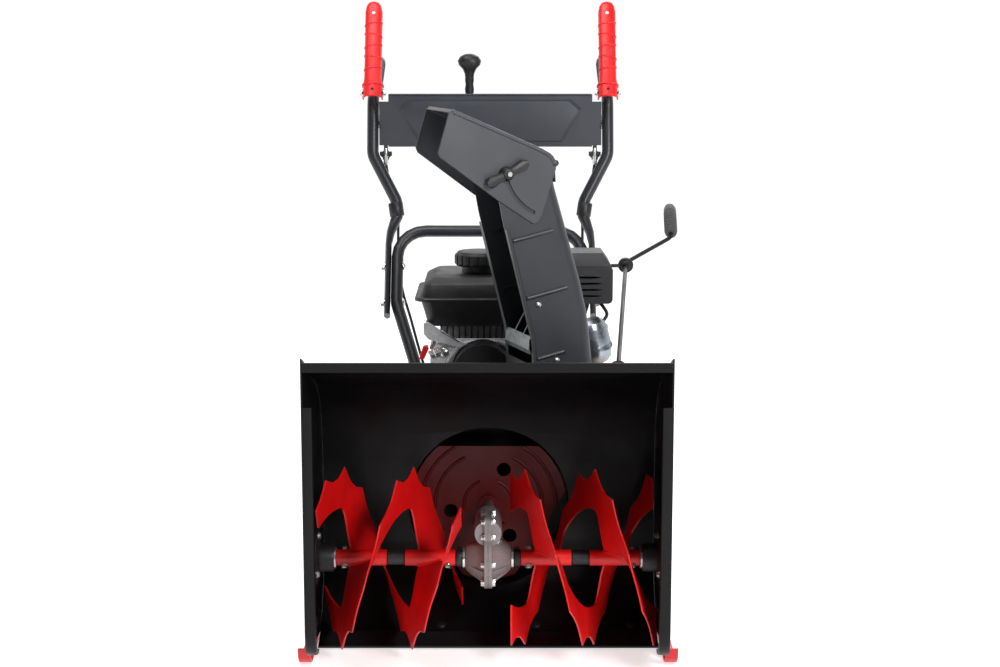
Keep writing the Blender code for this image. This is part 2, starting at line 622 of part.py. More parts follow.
def make_crank():
    axis = crank_axis()
    bend = [CRANK_TIP, CRANK_EYE + axis * 0.016, CRANK_ELBOW, CRANK_END]
    path = filleted(bend, 0.016, 4)
    bm = bmesh.new()
    add_tube(bm, path, CRANK_ROD_R, 8)
    rod = piece("crank_rod", bm, "black_steel", CRANK_EYE)
    coil = bmesh.new()
    u, v = across(axis)
    start = 0.0205
    per_turn = 10
    coil_path = []
    for i in range(-2, COIL_TURNS * per_turn + 3):
        radius = COIL_R * min(1.0, (i + 2) / 3 + 0.02, (COIL_TURNS * per_turn + 2 - i) / 3 + 0.02)
        turn = 2 * math.pi * i / per_turn
        along = start + COIL_PITCH * i / per_turn
        coil_path.append(CRANK_TIP + axis * along + (u * math.cos(turn) + v * math.sin(turn)) * radius)
    add_tube(coil, coil_path, COIL_WIRE_R, 6)
    tool(rod, coil, "UNION")

    spindle = (CRANK_END - CRANK_ELBOW).normalized()
    length = (CRANK_END - CRANK_ELBOW).length
    profile = [(CRANK_ROD_R + 0.0005, 0.012), (0.0105, 0.012), (0.0135, 0.018), (0.0128, 0.060),
               (0.0140, length - 0.006), (0.0110, length + 0.004), (0, length + 0.004), (0, length + GAP),
               (CRANK_ROD_R + 0.0005, length + GAP)]
    bm = bmesh.new()
    add_lathe(bm, profile, CRANK_ELBOW, spindle, 16)
    piece("crank_grip", bm, "rubber", CRANK_ELBOW)

    bm = bmesh.new()
    profile = [(0.0050, -0.008), (0.0085, -0.008), (0.0115, -0.0040), (0.0165, -0.0035), (0.0165, 0.0035),
               (0.0115, 0.0040), (0.0085, 0.008), (0.0050, 0.008)]
    add_lathe(bm, profile, CRANK_EYE, axis, 20)
    eye = piece("crank_eye", bm, "rubber")
    arm = bmesh.new()
    strip_face = LEG_X + HANDLE_R + 2 * GAP + 2 * FOOT_HALF
    bend = [(strip_face, 0.9075, 0.6010), (0.2420, 0.9075, 0.6010), (0.2620, 0.9400, 0.6010),
            (0.2785, 0.9470, 0.6005)]
    add_tube(arm, filleted(bend, 0.010, 3), 0.0040, 8)
    tool(eye, arm, "UNION")

    plate_y = CRANK_TIP.y + 0.0085
    through = CRANK_TIP + axis * (0.0085 / axis.y)
    bm = bmesh.new()
    outline = [(0.2150, 0.4300), (0.2600, 0.4300), (0.2600, 0.4600), *arc((0.2420, 0.4620), 0.018, 0, 180, 6),
               (0.2150, 0.4600)]
    add_prism(bm, outline, "Y", plate_y, plate_y + 0.003)
    support = piece("crank_support", bm, "black_steel")
    foot = bmesh.new()
    add_box(foot, (0.1925, 0.3024, 0.4300), (0.2595, plate_y + 0.0025, 0.4330))
    tool(support, foot, "UNION")
    room = bmesh.new()
    add_disc(room, CRANK_ROD_R + 0.0005, through, axis, -0.02, 0.02, 16)
    tool(support, room, "DIFFERENCE")


# ---------------------------------------------------------------- tractor half
def make_frame():
    bm = bmesh.new()
    add_box(bm, (-FRAME_HALF, FRAME_FRONT, FRAME_BOTTOM), (FRAME_HALF, FRAME_REAR, FRAME_TOP))
    frame = piece("tractor_frame", bm, "charcoal_paint")
    room = bmesh.new()
    add_box(room, (-FRAME_HALF + SHEET, FRAME_FRONT - 0.01, FRAME_BOTTOM - 0.01),
            (FRAME_HALF - SHEET, FRAME_REAR - SHEET, FRAME_TOP - SHEET))
    tool(frame, room, "DIFFERENCE")
    belt_slot = bmesh.new()
    add_box(belt_slot, (-0.088, FRAME_FRONT - 0.01, FRAME_TOP - 0.01), (0.080, 0.5140, FRAME_TOP + 0.01))
    tool(frame, belt_slot, "DIFFERENCE")
    axle_holes = bmesh.new()
    add_disc(axle_holes, AXLE_R + 0.0005, (0, AXLE_Y, AXLE_Z), WORLD_X, -0.2, 0.2, 20)
    add_disc(axle_holes, 0.0075, (0, COUNTER_Y, COUNTER_Z), WORLD_X, -0.2, 0.2, 16)
    tool(frame, axle_holes, "DIFFERENCE")


def make_belt_cover():
    def arch(half, top, bottom):
        centre, foot = (-0.012, top - half), half + 0.038
        skirt = [(-0.004 - foot, bottom), (-0.004 - foot, 0.318)]
        return skirt + [(-0.004 - half - 0.010, 0.378)] + arc(centre, half, 180, 0, 12) + [
            (-0.004 + half - 0.006, 0.378), (-0.004 + foot, 0.318), (-0.004 + foot, bottom)]

    bm = bmesh.new()
    add_prism(bm, arch(0.0580, 0.509, FRAME_TOP + GAP), "Y", 0.468, 0.522)
    cover = piece("belt_cover", bm, "black_plastic")
    room = bmesh.new()
    add_prism(room, arch(0.0555, 0.5065, FRAME_TOP - 0.02), "Y", 0.4705, 0.5195)
    tool(cover, room, "DIFFERENCE")
    shaft_room = bmesh.new()
    add_disc(shaft_room, 0.0160, (CRANKSHAFT_X, 0, CRANKSHAFT_Z), WORLD_Y, 0.51, 0.53, 20)
    tool(cover, shaft_room, "DIFFERENCE")


def add_belt(bm, first, second, first_r, second_r, y, width, thick):
    """A closed loop round two pulleys that turn about Y."""
    a, b = Vector(first), Vector(second)
    reach = (b - a).length
    heading = math.atan2(b.y - a.y, b.x - a.x)
    lean = math.acos((first_r - second_r) / reach)
    rings = []
    for offset, level in ((0, y), (thick, y), (thick, y + width), (0, y + width)):
        ring = []
        for i in range(13):
            angle = heading + lean + (2 * math.pi - 2 * lean) * i / 12
            ring.append((a.x + (first_r + offset) * math.cos(angle), level,
                         a.y + (first_r + offset) * math.sin(angle)))
        for i in range(13):
            angle = heading - lean + 2 * lean * i / 12
            ring.append((b.x + (second_r + offset) * math.cos(angle), level,
                         b.y + (second_r + offset) * math.sin(angle)))
        rings.append(ring)
    add_loft(bm, rings, closed=True)


def make_belt_drive():
    crank_point = (CRANKSHAFT_X, CRANKSHAFT_Z)
    bm = bmesh.new()
    profile = [(0.0098, 0), (0.0380, 0), (0.0380, 0.0015), (0.0290, 0.0060), (0.0290, 0.0090),
               (0.0380, 0.0135), (0.0380, 0.0175), (0.0320, 0.0185), (0.0230, 0.0233), (0.0230, 0.0257),
               (0.0320, 0.0305), (0.0098, 0.0305)]
    add_lathe(bm, profile, (CRANKSHAFT_X, PULLEY_FRONT, CRANKSHAFT_Z), WORLD_Y, 18)
    piece("engine_pulley", bm, "cast_aluminium", (CRANKSHAFT_X, 0, CRANKSHAFT_Z))

    bm = bmesh.new()
    add_belt(bm, (0, IMPELLER_Z), crank_point, 0.0790, 0.0297, PULLEY_FRONT + 0.0063, 0.0024, 0.009)
    piece("auger_belt", bm, "rubber")
    bm = bmesh.new()
    add_belt(bm, (0, COUNTER_Z), crank_point, 0.0568, 0.0237, PULLEY_FRONT + 0.0185 + 0.0051, 0.0018, 0.009)
    piece("drive_belt", bm, "rubber")

    bm = bmesh.new()
    profile = [(0, 0.4968), (0.0655, 0.4968), (0.0655, 0.4980), (0.0560, 0.5012), (0.0560, 0.5038),
               (0.0655, 0.5070), (0.0655, 0.5085), (0.0180, 0.5085), (0.0180, 0.5590), (0.0820, 0.5590),
               (0.0820, 0.5650), (0, 0.5650)]
    add_lathe(bm, profile, (0, 0, COUNTER_Z), WORLD_Y, 22)
    piece("friction_disc", bm, "cast_aluminium", (0, 0, COUNTER_Z))

    bm = bmesh.new()
    counter = (0, COUNTER_Y, COUNTER_Z)
    add_ring(bm, 0.0072, 0.0478, counter, WORLD_X, -0.036, -0.020, 24)
    piece("friction_wheel", bm, "rubber", counter)
    bm = bmesh.new()
    add_disc(bm, 0.0068, counter, WORLD_X, -0.1450, 0.1450, 6)
    shaft = piece("hex_shaft", bm, "bright_steel", counter)
    pinion = bmesh.new()
    add_disc(pinion, 0.0166, counter, WORLD_X, 0.092, 0.104, 18)
    tool(shaft, pinion, "UNION")


def make_wheels():
    centre = (0, AXLE_Y, AXLE_Z)
    bm = bmesh.new()
    add_disc(bm, AXLE_R, centre, WORLD_X, -0.2640, 0.2640, 20)
    axle = piece("axle", bm, "bright_steel", centre)
    gear = bmesh.new()
    outline = []
    for i in range(30):
        for part, radius in ((0.0, 0.0745), (0.35, 0.0745), (0.5, 0.0705), (0.85, 0.0705)):
            outline.append(polar((AXLE_Y, AXLE_Z), radius, 12 * (i + part)))
    add_prism(gear, outline, "X", 0.092, 0.104)
    tool(axle, gear, "UNION")
    for side, word in ((-1, "left"), (1, "right")):
        bm = bmesh.new()
        profile = [(0.0098, 0.176), (0.022, 0.176), (0.022, 0.205), (0.062, 0.214), (0.068, 0.190),
                   (0.078, 0.182), (0.078, 0.186), (0.0715, 0.193), (0.0715, 0.249), (0.078, 0.256),
                   (0.078, 0.260), (0.068, 0.252), (0.062, 0.220), (0.022, 0.212), (0.022, 0.240),
                   (0.0098, 0.240)]
        add_lathe(bm, [(r, side * x) for r, x in profile], centre, WORLD_X, 28)
        piece("wheel_rim_" + word, bm, "galvanised", centre)
        bm = bmesh.new()
        profile = [(0.0800, 0.181), (0.1000, 0.176), (0.1350, TYRE_IN), (0.1560, 0.177), (TYRE_R, 0.196),
                   (TYRE_R, 0.246), (0.1560, 0.265), (0.1350, TYRE_OUT), (0.1000, 0.266), (0.0800, 0.261),
                   (0.0784, 0.256), (0.0719, 0.2485), (0.0719, 0.1935), (0.0784, 0.186)]
        add_lathe(bm, [(r, side * x) for r, x in profile], centre, WORLD_X, 28)
        piece("tyre_" + word, bm, "tyre", centre)


# ---------------------------------------------------------------- engine
def make_engine():
    bm = bmesh.new()
    block = rounded_box(0.095, 0.0935, 0.022, 3, (-0.020, 0.4070))
    add_prism(bm, block, "Y", 0.532, 0.700)
    engine = piece("engine_block", bm, "cast_aluminium")
    cylinder = bmesh.new()
    lean = math.radians(15)
    heading = Vector((math.cos(lean), 0, math.sin(lean)))
    rise = Vector((-math.sin(lean), 0, math.cos(lean)))
    start = Vector((0.030, 0.612, 0.400))
    section = rounded_box(0.052, 0.050, 0.012, 2)
    rings = [[start + heading * d + WORLD_Y * a + rise * b for a, b in section] for d in (0.0, 0.150)]
    add_loft(cylinder, rings)
    tool(engine, cylinder, "UNION")
    feet = bmesh.new()
    add_box(feet, (-0.100, 0.545, ENGINE_BASE), (0.060, 0.690, 0.330))
    tool(engine, feet, "UNION")
    tank_deck = bmesh.new()
    add_box(tank_deck, (-0.095, 0.562, 0.480), (0.070, 0.692, 0.534 - GAP))
    tool(engine, tank_deck, "UNION")
    crank_room = bmesh.new()
    add_disc(crank_room, 0.0120, (CRANKSHAFT_X, 0, CRANKSHAFT_Z), WORLD_Y, 0.50, 0.71, 20)
    tool(engine, crank_room, "DIFFERENCE")

    bm = bmesh.new()
    cap = rounded_box(0.046, 0.042, 0.014, 3)
    rings = []
    for distance, scale in ((0.1503, 1.0), (0.168, 1.0), (0.177, 0.86)):
        rings.append([start + heading * distance + WORLD_Y * a * scale + rise * b * scale for a, b in cap])
    add_loft(bm, rings)
    piece("valve_cover", bm, "black_steel")

    bm = bmesh.new()
    add_disc(bm, 0.0095, (CRANKSHAFT_X, 0, CRANKSHAFT_Z), WORLD_Y, 0.4760, 0.7180, 20)
    crankshaft = piece("crankshaft", bm, "bright_steel", (CRANKSHAFT_X, 0, CRANKSHAFT_Z))
    flywheel = bmesh.new()
    add_disc(flywheel, 0.0850, (CRANKSHAFT_X, 0, CRANKSHAFT_Z), WORLD_Y, 0.7080, 0.7170, 28)
    tool(crankshaft, flywheel, "UNION")

    bm = bmesh.new()
    profile = [(0.0900, 0.7003), (0.1060, 0.7003), (0.1060, 0.7650), (0.0980, 0.7800), (0.0600, 0.7900),
               (0, 0.7920), (0, 0.7890), (0.0590, 0.7870), (0.0960, 0.7775), (0.1030, 0.7640),
               (0.1030, 0.7033), (0.0900, 0.7033)]
    add_lathe(bm, profile, (CRANKSHAFT_X, 0, CRANKSHAFT_Z), WORLD_Y, 24)
    piece("recoil_cover", bm, "black_plastic")
    bm = bmesh.new()
    grip = superellipse((0.0, 0.0), 0.0080, 0.0110, 3, 12)
    rings = []
    for along, scale in ((-0.036, 0.70), (-0.028, 1.0), (0.0, 0.80), (0.028, 1.0), (0.036, 0.70)):
        rings.append([(-0.062 + along, 0.8080 + a * scale, 0.4700 + b * scale) for a, b in grip])
    add_loft(bm, rings)
    handle = piece("recoil_handle", bm, "black_plastic", (-0.062, 0.800, 0.470))
    rope = bmesh.new()
    add_disc(rope, 0.0025, (-0.062, 0, 0.470), WORLD_Y, 0.7885, 0.8060, 10)
    tool(handle, rope, "UNION")


def tank_rings(shrink, levels):
    rings = []
    for z, half_x, half_y in levels:
        outline = superellipse((-0.0080, 0.6350), half_x - shrink, half_y - shrink, 6, 20)
        rings.append([(x, y, z) for x, y in outline])
    return rings


def make_fuel_tank():
    outside = ((0.5340, 0.1120, 0.1000), (0.5500, 0.1240, 0.1120), (0.5870, 0.1290, 0.1170),
               (0.5875, 0.1370, 0.1240), (0.5925, 0.1370, 0.1240), (0.5930, 0.1270, 0.1150),
               (0.6200, 0.1180, 0.1060), (0.6300, 0.1060, 0.0940))
    inside = ((0.5370, 0.1120, 0.1000), (0.5520, 0.1240, 0.1120), (0.5900, 0.1290, 0.1170),
              (0.6180, 0.1180, 0.1060), (0.6270, 0.1060, 0.0940))
    neck_x, neck_y = -0.020, 0.620
    bm = bmesh.new()
    add_loft(bm, tank_rings(0.0, outside))
    tank = piece("fuel_tank", bm, "black_plastic")
    neck = bmesh.new()
    add_disc(neck, 0.0340, (neck_x, neck_y, 0), WORLD_Z, 0.6285, 0.6480, 24)
    tool(tank, neck, "UNION")
    hollow = bmesh.new()
    add_loft(hollow, tank_rings(0.0030, inside))
    tool(tank, hollow, "DIFFERENCE")
    filler = bmesh.new()
    add_disc(filler, 0.0300, (neck_x, neck_y, 0), WORLD_Z, 0.6200, 0.6600, 24)
    tool(tank, filler, "DIFFERENCE")

    bm = bmesh.new()
    profile = [(0.0345, 0.6440), (0.0450, 0.6440), (0.0470, 0.6470), (0.0470, 0.6660), (0.0420, 0.6720),
               (0, 0.6745), (0, 0.6490), (0.0345, 0.6490)]
    add_lathe(bm, profile, (neck_x, neck_y, 0), WORLD_Z, 24)
    piece("fuel_cap", bm, "black_plastic", (neck_x, neck_y, 0.6600))


def make_exhaust():
    """Slotted black hood over a galvanised silencer, on the right of the engine."""
    bm = bmesh.new()
    add_prism(bm, rounded_box(0.0489, 0.0365, 0.008, 2, (0.1889, 0.6205)), "Y", 0.500, 0.628)
    hood = piece("heat_hood", bm, "black_plastic")
    lid = bmesh.new()
    rings = []
    levels = ((0.6550, 0.145, 0.2355, 0.504, 0.624), (0.6600, 0.145, 0.2330, 0.506, 0.622),
              (0.6800, 0.150, 0.2190, 0.520, 0.608))
    for z, left, right, front, rear in levels:
        rings.append([(left, front, z), (right, front, z), (right, rear, z), (left, rear, z)])
    add_loft(lid, rings)
    tool(hood, lid, "UNION")
    room = bmesh.new()
    add_box(room, (0.1430, 0.5030, 0.5700), (0.2348, 0.6250, 0.6540))
    tool(hood, room, "DIFFERENCE")
    slots = bmesh.new()
    for row in range(4):
        middle = 0.6350 - 0.0120 * row
        add_prism(slots, rounded_box(0.0260, 0.0021, 0.0020, 2, (0.1900, middle)), "Y", 0.49, 0.51)
    tool(hood, slots, "DIFFERENCE")

    bracket = bmesh.new()
    lean = math.tan(math.radians(15))
    seat = [(x, 0.4483 + GAP + 0.0002 + (x - 0.01706) * lean) for x in (0.148, 0.168)]
    add_prism(bracket, seat + [(0.168, 0.600), (0.148, 0.600)], "Y", 0.6258, 0.6310)
    tool(hood, bracket, "UNION")

    axis = Vector((-0.26, 0, 1)).normalized()
    bm = bmesh.new()
    profile = [(0, -0.047), (0.018, -0.047), (0.028, -0.038), (0.033, -0.020), (0.033, 0.020),
               (0.030, 0.032), (0.020, 0.040), (0, 0.041)]
    add_lathe(bm, profile, (0.2010, 0.5150, 0.5130), axis, 24)
    silencer = piece("silencer", bm, "galvanised")
    pipe = bmesh.new()
    port = [(0.2020, 0.5180, 0.5000), (0.1500, 0.5340, 0.4660), (0.1500, 0.5600 - GAP, 0.4660)]
    add_tube(pipe, filleted(port, 0.012, 4), 0.0105, 12)
    tool(silencer, pipe, "UNION")


# ---------------------------------------------------------------- handlebars and controls
def mirrored(points, side):
    return [(side * x, y, z) for x, y, z in points]


def leg_y(z):
    """The line that the lower legs and the foot of each upper handle share."""
    return 0.950 - (0.675 - z) * 0.577


def make_handles():
    half = [(0.0, 0.950, 0.675), (LEG_X, 0.950, 0.675), (LEG_X, leg_y(0.530), 0.530),
            (FRAME_HALF + HANDLE_R + GAP, leg_y(0.400), 0.400),
            (FRAME_HALF + HANDLE_R + GAP, leg_y(0.200), 0.200)]
    corners = mirrored(half[:0:-1], -1) + half[1:]
    bm = bmesh.new()
    add_tube(bm, filleted(corners, 0.060, 5), HANDLE_R, 12)
    piece("handle_frame", bm, "charcoal_paint")

    foot_x = LEG_X + HANDLE_R + GAP + FOOT_HALF
    for side, word in ((-1, "left"), (1, "right")):
        upper = [(LEG_X + 0.0028, leg_y(0.705), 0.705), (LEG_X + 0.0028, 0.974, 0.735),
                 (GRIP_X, 0.997, 0.835), (GRIP_X, 1.027, 0.955), (GRIP_X, 1.215, 1.030)]
        bend = filleted(mirrored(upper, side), 0.045, 4)
        flat = mirrored([(foot_x, leg_y(0.505), 0.505), (foot_x, leg_y(0.648), 0.648),
                         (foot_x - 0.004, leg_y(0.672), 0.672)], side)
        sizes = [(FOOT_HALF, 0.0165), (FOOT_HALF, 0.0165), (0.0090, 0.0150)]
        sizes += [(HANDLE_R, HANDLE_R)] * len(bend)
        bm = bmesh.new()
        add_tube(bm, flat + bend, sizes, 12, WORLD_X)
        handle = piece("handle_" + word, bm, "charcoal_paint")
        lug = bmesh.new()
        pivot = Vector((side * LEVER_PIVOT.x, LEVER_PIVOT.y, LEVER_PIVOT.z))
        outline = arc((pivot.y, pivot.z), 0.0085, 20, 200, 8) + [(1.0120, 0.9400), (1.0300, 0.9480)]
        add_prism(lug, outline, "X", pivot.x - 0.004, pivot.x + 0.004)
        tool(handle, lug, "UNION")
        pin = bmesh.new()
        add_disc(pin, 0.0031, pivot, WORLD_X, -0.0235, 0.0235, 12)
        tool(handle, pin, "UNION")

        along = (GRIP_END - GRIP_START).normalized()
        reach = (GRIP_END - GRIP_START).length
        start = Vector((side * GRIP_START.x, GRIP_START.y, GRIP_START.z))
        profile = [(HANDLE_R + 0.0005, 0.0), (0.0175, 0.0), (0.0175, 0.004), (0.0160, 0.007), (0.0160, reach),
                   (0.0140, reach + 0.005), (0, reach + 0.006), (0, reach + 0.001),
                   (HANDLE_R + 0.0005, reach + 0.001)]
        bm = bmesh.new()
        add_lathe(bm, profile, start, along, 16)
        piece("grip_" + word, bm, "rubber")


def make_panel():
    bm = bmesh.new()
    thick = 0.003
    front_low, front_high, rear_high = (1.0000, 0.8530), (1.0060, 0.9660), (1.1500, 0.9160)
    profile = [front_low, front_high, rear_high, (1.1510, 0.9000), (1.1480, 0.9000),
               (1.1472, 0.9138), (1.0085, 0.9620), (1.0031, 0.8560), (1.0180, 0.8560), (1.0180, 0.8530)]
    add_prism(bm, profile, "X", -0.2205, 0.2205)
    panel = piece("control_panel", bm, "charcoal_paint")
    wings = bmesh.new()
    wing = [(1.0005, 0.8560), (1.0052, 0.9500), (1.0052 + thick, 0.9500), (1.0005 + thick, 0.8560)]
    add_prism(wings, wing, "X", -0.2405, 0.2405)
    tool(panel, wings, "UNION")
    slot = bmesh.new()
    add_prism(slot, rounded_box(0.0090, 0.0480, 0.0080, 3, (SHIFT_X, SHIFT_Y)), "Z", 0.88, 0.98)
    tool(panel, slot, "DIFFERENCE")

    pin = bmesh.new()
    add_disc(pin, 0.0050, (SHIFT_X, SHIFT_Y, SHIFT_Z), WORLD_X, -0.0140, 0.0140, 16)
    tool(panel, pin, "UNION")
    for side in (-1, 1):
        cheek = bmesh.new()
        outline = [(SHIFT_Y - 0.014, SHIFT_Z - 0.012), (SHIFT_Y + 0.014, SHIFT_Z - 0.012),
                   (SHIFT_Y + 0.014, SHIFT_Z + 0.020), (1.0170, 0.8550), (1.0040, 0.8550), (1.0040, 0.8400)]
        add_prism(cheek, outline, "X", SHIFT_X + side * 0.0120, SHIFT_X + side * 0.0150)
        tool(panel, cheek, "UNION")
        stem = bmesh.new()
        middle = side * CABLE_X
        stem_outline = [(middle - 0.0100, CABLE_TOP), (middle + 0.0100, CABLE_TOP),
                        (middle + 0.0100, CABLE_TOP + 0.010), (middle + 0.0045, CABLE_TOP + 0.015),
                        (middle + 0.0045, 0.8600), (middle - 0.0045, 0.8600),
                        (middle - 0.0045, CABLE_TOP + 0.015), (middle - 0.0100, CABLE_TOP + 0.010)]
        add_prism(stem, stem_outline, "Y", 1.0015, 1.0035)
        tool(panel, stem, "UNION")


def make_shift():
    pivot = Vector((SHIFT_X, SHIFT_Y, SHIFT_Z))
    bm = bmesh.new()
    low = (SHIFT_X - 0.0075, SHIFT_Y - 0.0025, SHIFT_Z - 0.018)
    high = (SHIFT_X + 0.0075, SHIFT_Y + 0.0025, 1.000)
    add_box(bm, low, high)
    lever = piece("shift_lever", bm, "bright_steel", pivot)
    hub = bmesh.new()
    add_disc(hub, 0.0110, pivot, WORLD_X, -0.0070, 0.0070, 18)
    tool(lever, hub, "UNION")
    hole = bmesh.new()
    add_disc(hole, 0.0053, pivot, WORLD_X, -0.02, 0.02, 16)
    tool(lever, hole, "DIFFERENCE")

    bm = bmesh.new()
    levels = ((1.0003, 0.0095, 0.0085), (1.0080, 0.0105, 0.0095), (1.0180, 0.0150, 0.0130),
              (1.0270, 0.0235, 0.0170), (1.0360, 0.0258, 0.0180), (1.0450, 0.0205, 0.0150),
              (1.0500, 0.0110, 0.0090), (1.0515, 0.0040, 0.0035))
    rings = []
    for z, half_x, half_y in levels:
        outline = superellipse((SHIFT_X, SHIFT_Y), half_x, half_y, 2.2, 16)
        rings.append([(x, y, z) for x, y in outline])
    add_loft(bm, rings)
    piece("shift_knob", bm, "black_plastic", pivot)


def lever_ring(side, along, half_width, low, high, wall):
    """One C shaped section of a clutch lever, open towards the grip."""
    tilt = math.radians(LEVER_ANGLE)
    forward = Vector((0, math.cos(tilt), math.sin(tilt)))
    outward = Vector((0, -math.sin(tilt), math.cos(tilt)))
    base = Vector((side * LEVER_PIVOT.x, LEVER_PIVOT.y, LEVER_PIVOT.z)) + forward * along
    points = []
    for width, top in ((half_width, high), (half_width - wall, high - wall)):
        row = []
        for i in range(9):
            turn = math.pi * i / 8
            across_x = width * math.copysign(abs(math.cos(turn)) ** 0.6, math.cos(turn))
            level = low + (top - low) * abs(math.sin(turn)) ** 0.6
            row.append(base + WORLD_X * across_x + outward * level)
        points += row if width == half_width else row[::-1]
    return points


def make_clutch_levers():
    stations = ((-0.014, 0.0215, -0.0060, 0.0190), (0.018, 0.0215, -0.0060, 0.0190),
                (0.030, 0.0190, 0.0020, 0.0195), (0.100, 0.0185, 0.0050, 0.0200),
                (0.185, 0.0190, 0.0050, 0.0200), (0.198, 0.0165, 0.0060, 0.0195),
                (0.205, 0.0120, 0.0080, 0.0180), (0.208, 0.0060, 0.0100, 0.0150))
    tilt = math.radians(LEVER_ANGLE)
    forward = Vector((0, math.cos(tilt), math.sin(tilt)))
    outward = Vector((0, -math.sin(tilt), math.cos(tilt)))
    for side, word in ((-1, "auger"), (1, "drive")):
        pivot = Vector((side * LEVER_PIVOT.x, LEVER_PIVOT.y, LEVER_PIVOT.z))
        bm = bmesh.new()
        add_loft(bm, [lever_ring(side, *station, 0.0025) for station in stations])
        lever = piece(word + "_clutch_lever", bm, "red_plastic", pivot)
        hole = bmesh.new()
        add_disc(hole, 0.0040, pivot + forward * 0.180, outward, 0.0, 0.03, 16)
        tool(lever, hole, "DIFFERENCE")
        pin_room = bmesh.new()
        add_disc(pin_room, 0.0034, pivot, WORLD_X, -0.03, 0.03, 12)
        tool(lever, pin_room, "DIFFERENCE")


def make_cables():
    """A bowden cable from each clutch lever down its handle to the top of the tractor frame."""
    for side, word in ((-1, "auger"), (1, "drive")):
        route = [(CABLE_X, 1.0025, CABLE_TOP - GAP), (CABLE_X, 1.0025, CABLE_TOP - 0.012),
                 (0.2230, 1.0025, 0.7900), (0.2230, 1.0020, 0.7700),
                 (0.2020, 1.0000, 0.7250), (0.1990, leg_y(0.640) + 0.026, 0.6400),
                 (0.1900, leg_y(0.560) + 0.026, 0.5600), (0.1700, leg_y(0.500) + 0.022, 0.5000),
                 (0.1450, 0.8280, 0.4200), (0.1250, 0.8150, 0.3600), (0.1250, 0.8150, 0.3300),
                 (0.1250, 0.8150, FRAME_TOP + 2 * GAP)]
        curve = bpy.data.curves.new(word + "_cable", "CURVE")
        curve.dimensions = "3D"
        curve.bevel_depth = 0.0030
        curve.bevel_resolution = 2
        curve.use_fill_caps = True
        points = smooth_route(mirrored(route, side), 3)
        spline = curve.splines.new("POLY")
        spline.points.add(len(points) - 1)
        for target, point in zip(spline.points, points):
            target.co = (*point, 1.0)
        curve.materials.append(FINISHES["rubber"])
        cable = bpy.data.objects.new(word + "_cable", curve)
        cable.parent = MACHINE
        bpy.context.scene.collection.objects.link(cable)


def smooth_route(points, steps):
    """A smooth curve through every point of a route."""
    knots = [Vector(points[0])] + [Vector(point) for point in points] + [Vector(points[-1])]
    curve = []
    for p0, p1, p2, p3 in zip(knots, knots[1:], knots[2:], knots[3:]):
        for i in range(steps):
            t = i / steps
            curve.append(0.5 * (2 * p1 + (p2 - p0) * t + (2 * p0 - 5 * p1 + 4 * p2 - p3) * t * t
                                + (3 * p1 - p0 - 3 * p2 + p3) * t ** 3))
    return curve + [knots[-1]]


# ---------------------------------------------------------------- the machine
def main():
    make_housing()
    make_skids()
    make_drum()
    make_augers()
    make_gearbox()
    make_impeller()
    make_chute()
    make_deflector()
    make_crank()
    make_frame()
    make_belt_cover()
    make_belt_drive()
    make_wheels()
    make_engine()
    make_fuel_tank()
    make_exhaust()
    make_handles()
    make_panel()
    make_shift()
    make_clutch_levers()
    make_cables()


for leftover in list(bpy.data.objects):
    bpy.data.objects.remove(leftover, do_unlink=True)
MACHINE = bpy.data.objects.new("machine", None)
MACHINE.location = (-FOOTPRINT_CENTRE[0], -FOOTPRINT_CENTRE[1], 0)
bpy.context.scene.collection.objects.link(MACHINE)
FINISHES = make_finishes()
main()
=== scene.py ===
"""Looks of the two stage snowblower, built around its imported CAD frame.

Places are given in the machine's own frame, as in the CAD source: X to the right seen from the front, Y from
the front lip of the auger housing towards the operator, Z from the ground. at() moves them to the row frame.
"""

import itertools
import json
import math

import bmesh
import bpy
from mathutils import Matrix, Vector


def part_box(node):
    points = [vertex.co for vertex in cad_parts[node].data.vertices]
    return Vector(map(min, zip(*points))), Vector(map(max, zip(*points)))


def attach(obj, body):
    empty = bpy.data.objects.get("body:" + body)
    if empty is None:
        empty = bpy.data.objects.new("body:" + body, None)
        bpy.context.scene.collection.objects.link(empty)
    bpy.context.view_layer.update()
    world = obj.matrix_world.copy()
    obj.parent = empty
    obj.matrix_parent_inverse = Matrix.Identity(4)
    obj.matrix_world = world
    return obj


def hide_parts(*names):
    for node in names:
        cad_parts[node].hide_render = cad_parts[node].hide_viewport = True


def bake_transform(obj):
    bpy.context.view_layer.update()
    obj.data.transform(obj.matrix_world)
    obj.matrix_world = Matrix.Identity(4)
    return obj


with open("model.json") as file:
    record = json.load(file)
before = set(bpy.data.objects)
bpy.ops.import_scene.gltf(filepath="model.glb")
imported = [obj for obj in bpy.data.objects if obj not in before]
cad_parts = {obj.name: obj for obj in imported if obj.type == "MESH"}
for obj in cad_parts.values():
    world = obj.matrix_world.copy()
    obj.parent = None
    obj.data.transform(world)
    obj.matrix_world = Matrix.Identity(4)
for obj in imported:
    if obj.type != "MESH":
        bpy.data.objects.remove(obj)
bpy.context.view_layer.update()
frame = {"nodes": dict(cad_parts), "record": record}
NODES = frame["nodes"]

HOUSING_LOW, HOUSING_HIGH = (Vector(corner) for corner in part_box("housing_shell"))
SHIFT = Vector(((HOUSING_LOW.x + HOUSING_HIGH.x) / 2, HOUSING_LOW.y, 0.0))
X, Y, Z = Vector((1, 0, 0)), Vector((0, 1, 0)), Vector((0, 0, 1))

SIDES = ((-1, "left"), (1, "right"))


def at(x, y, z):
    return Vector((x, y, z)) + SHIFT


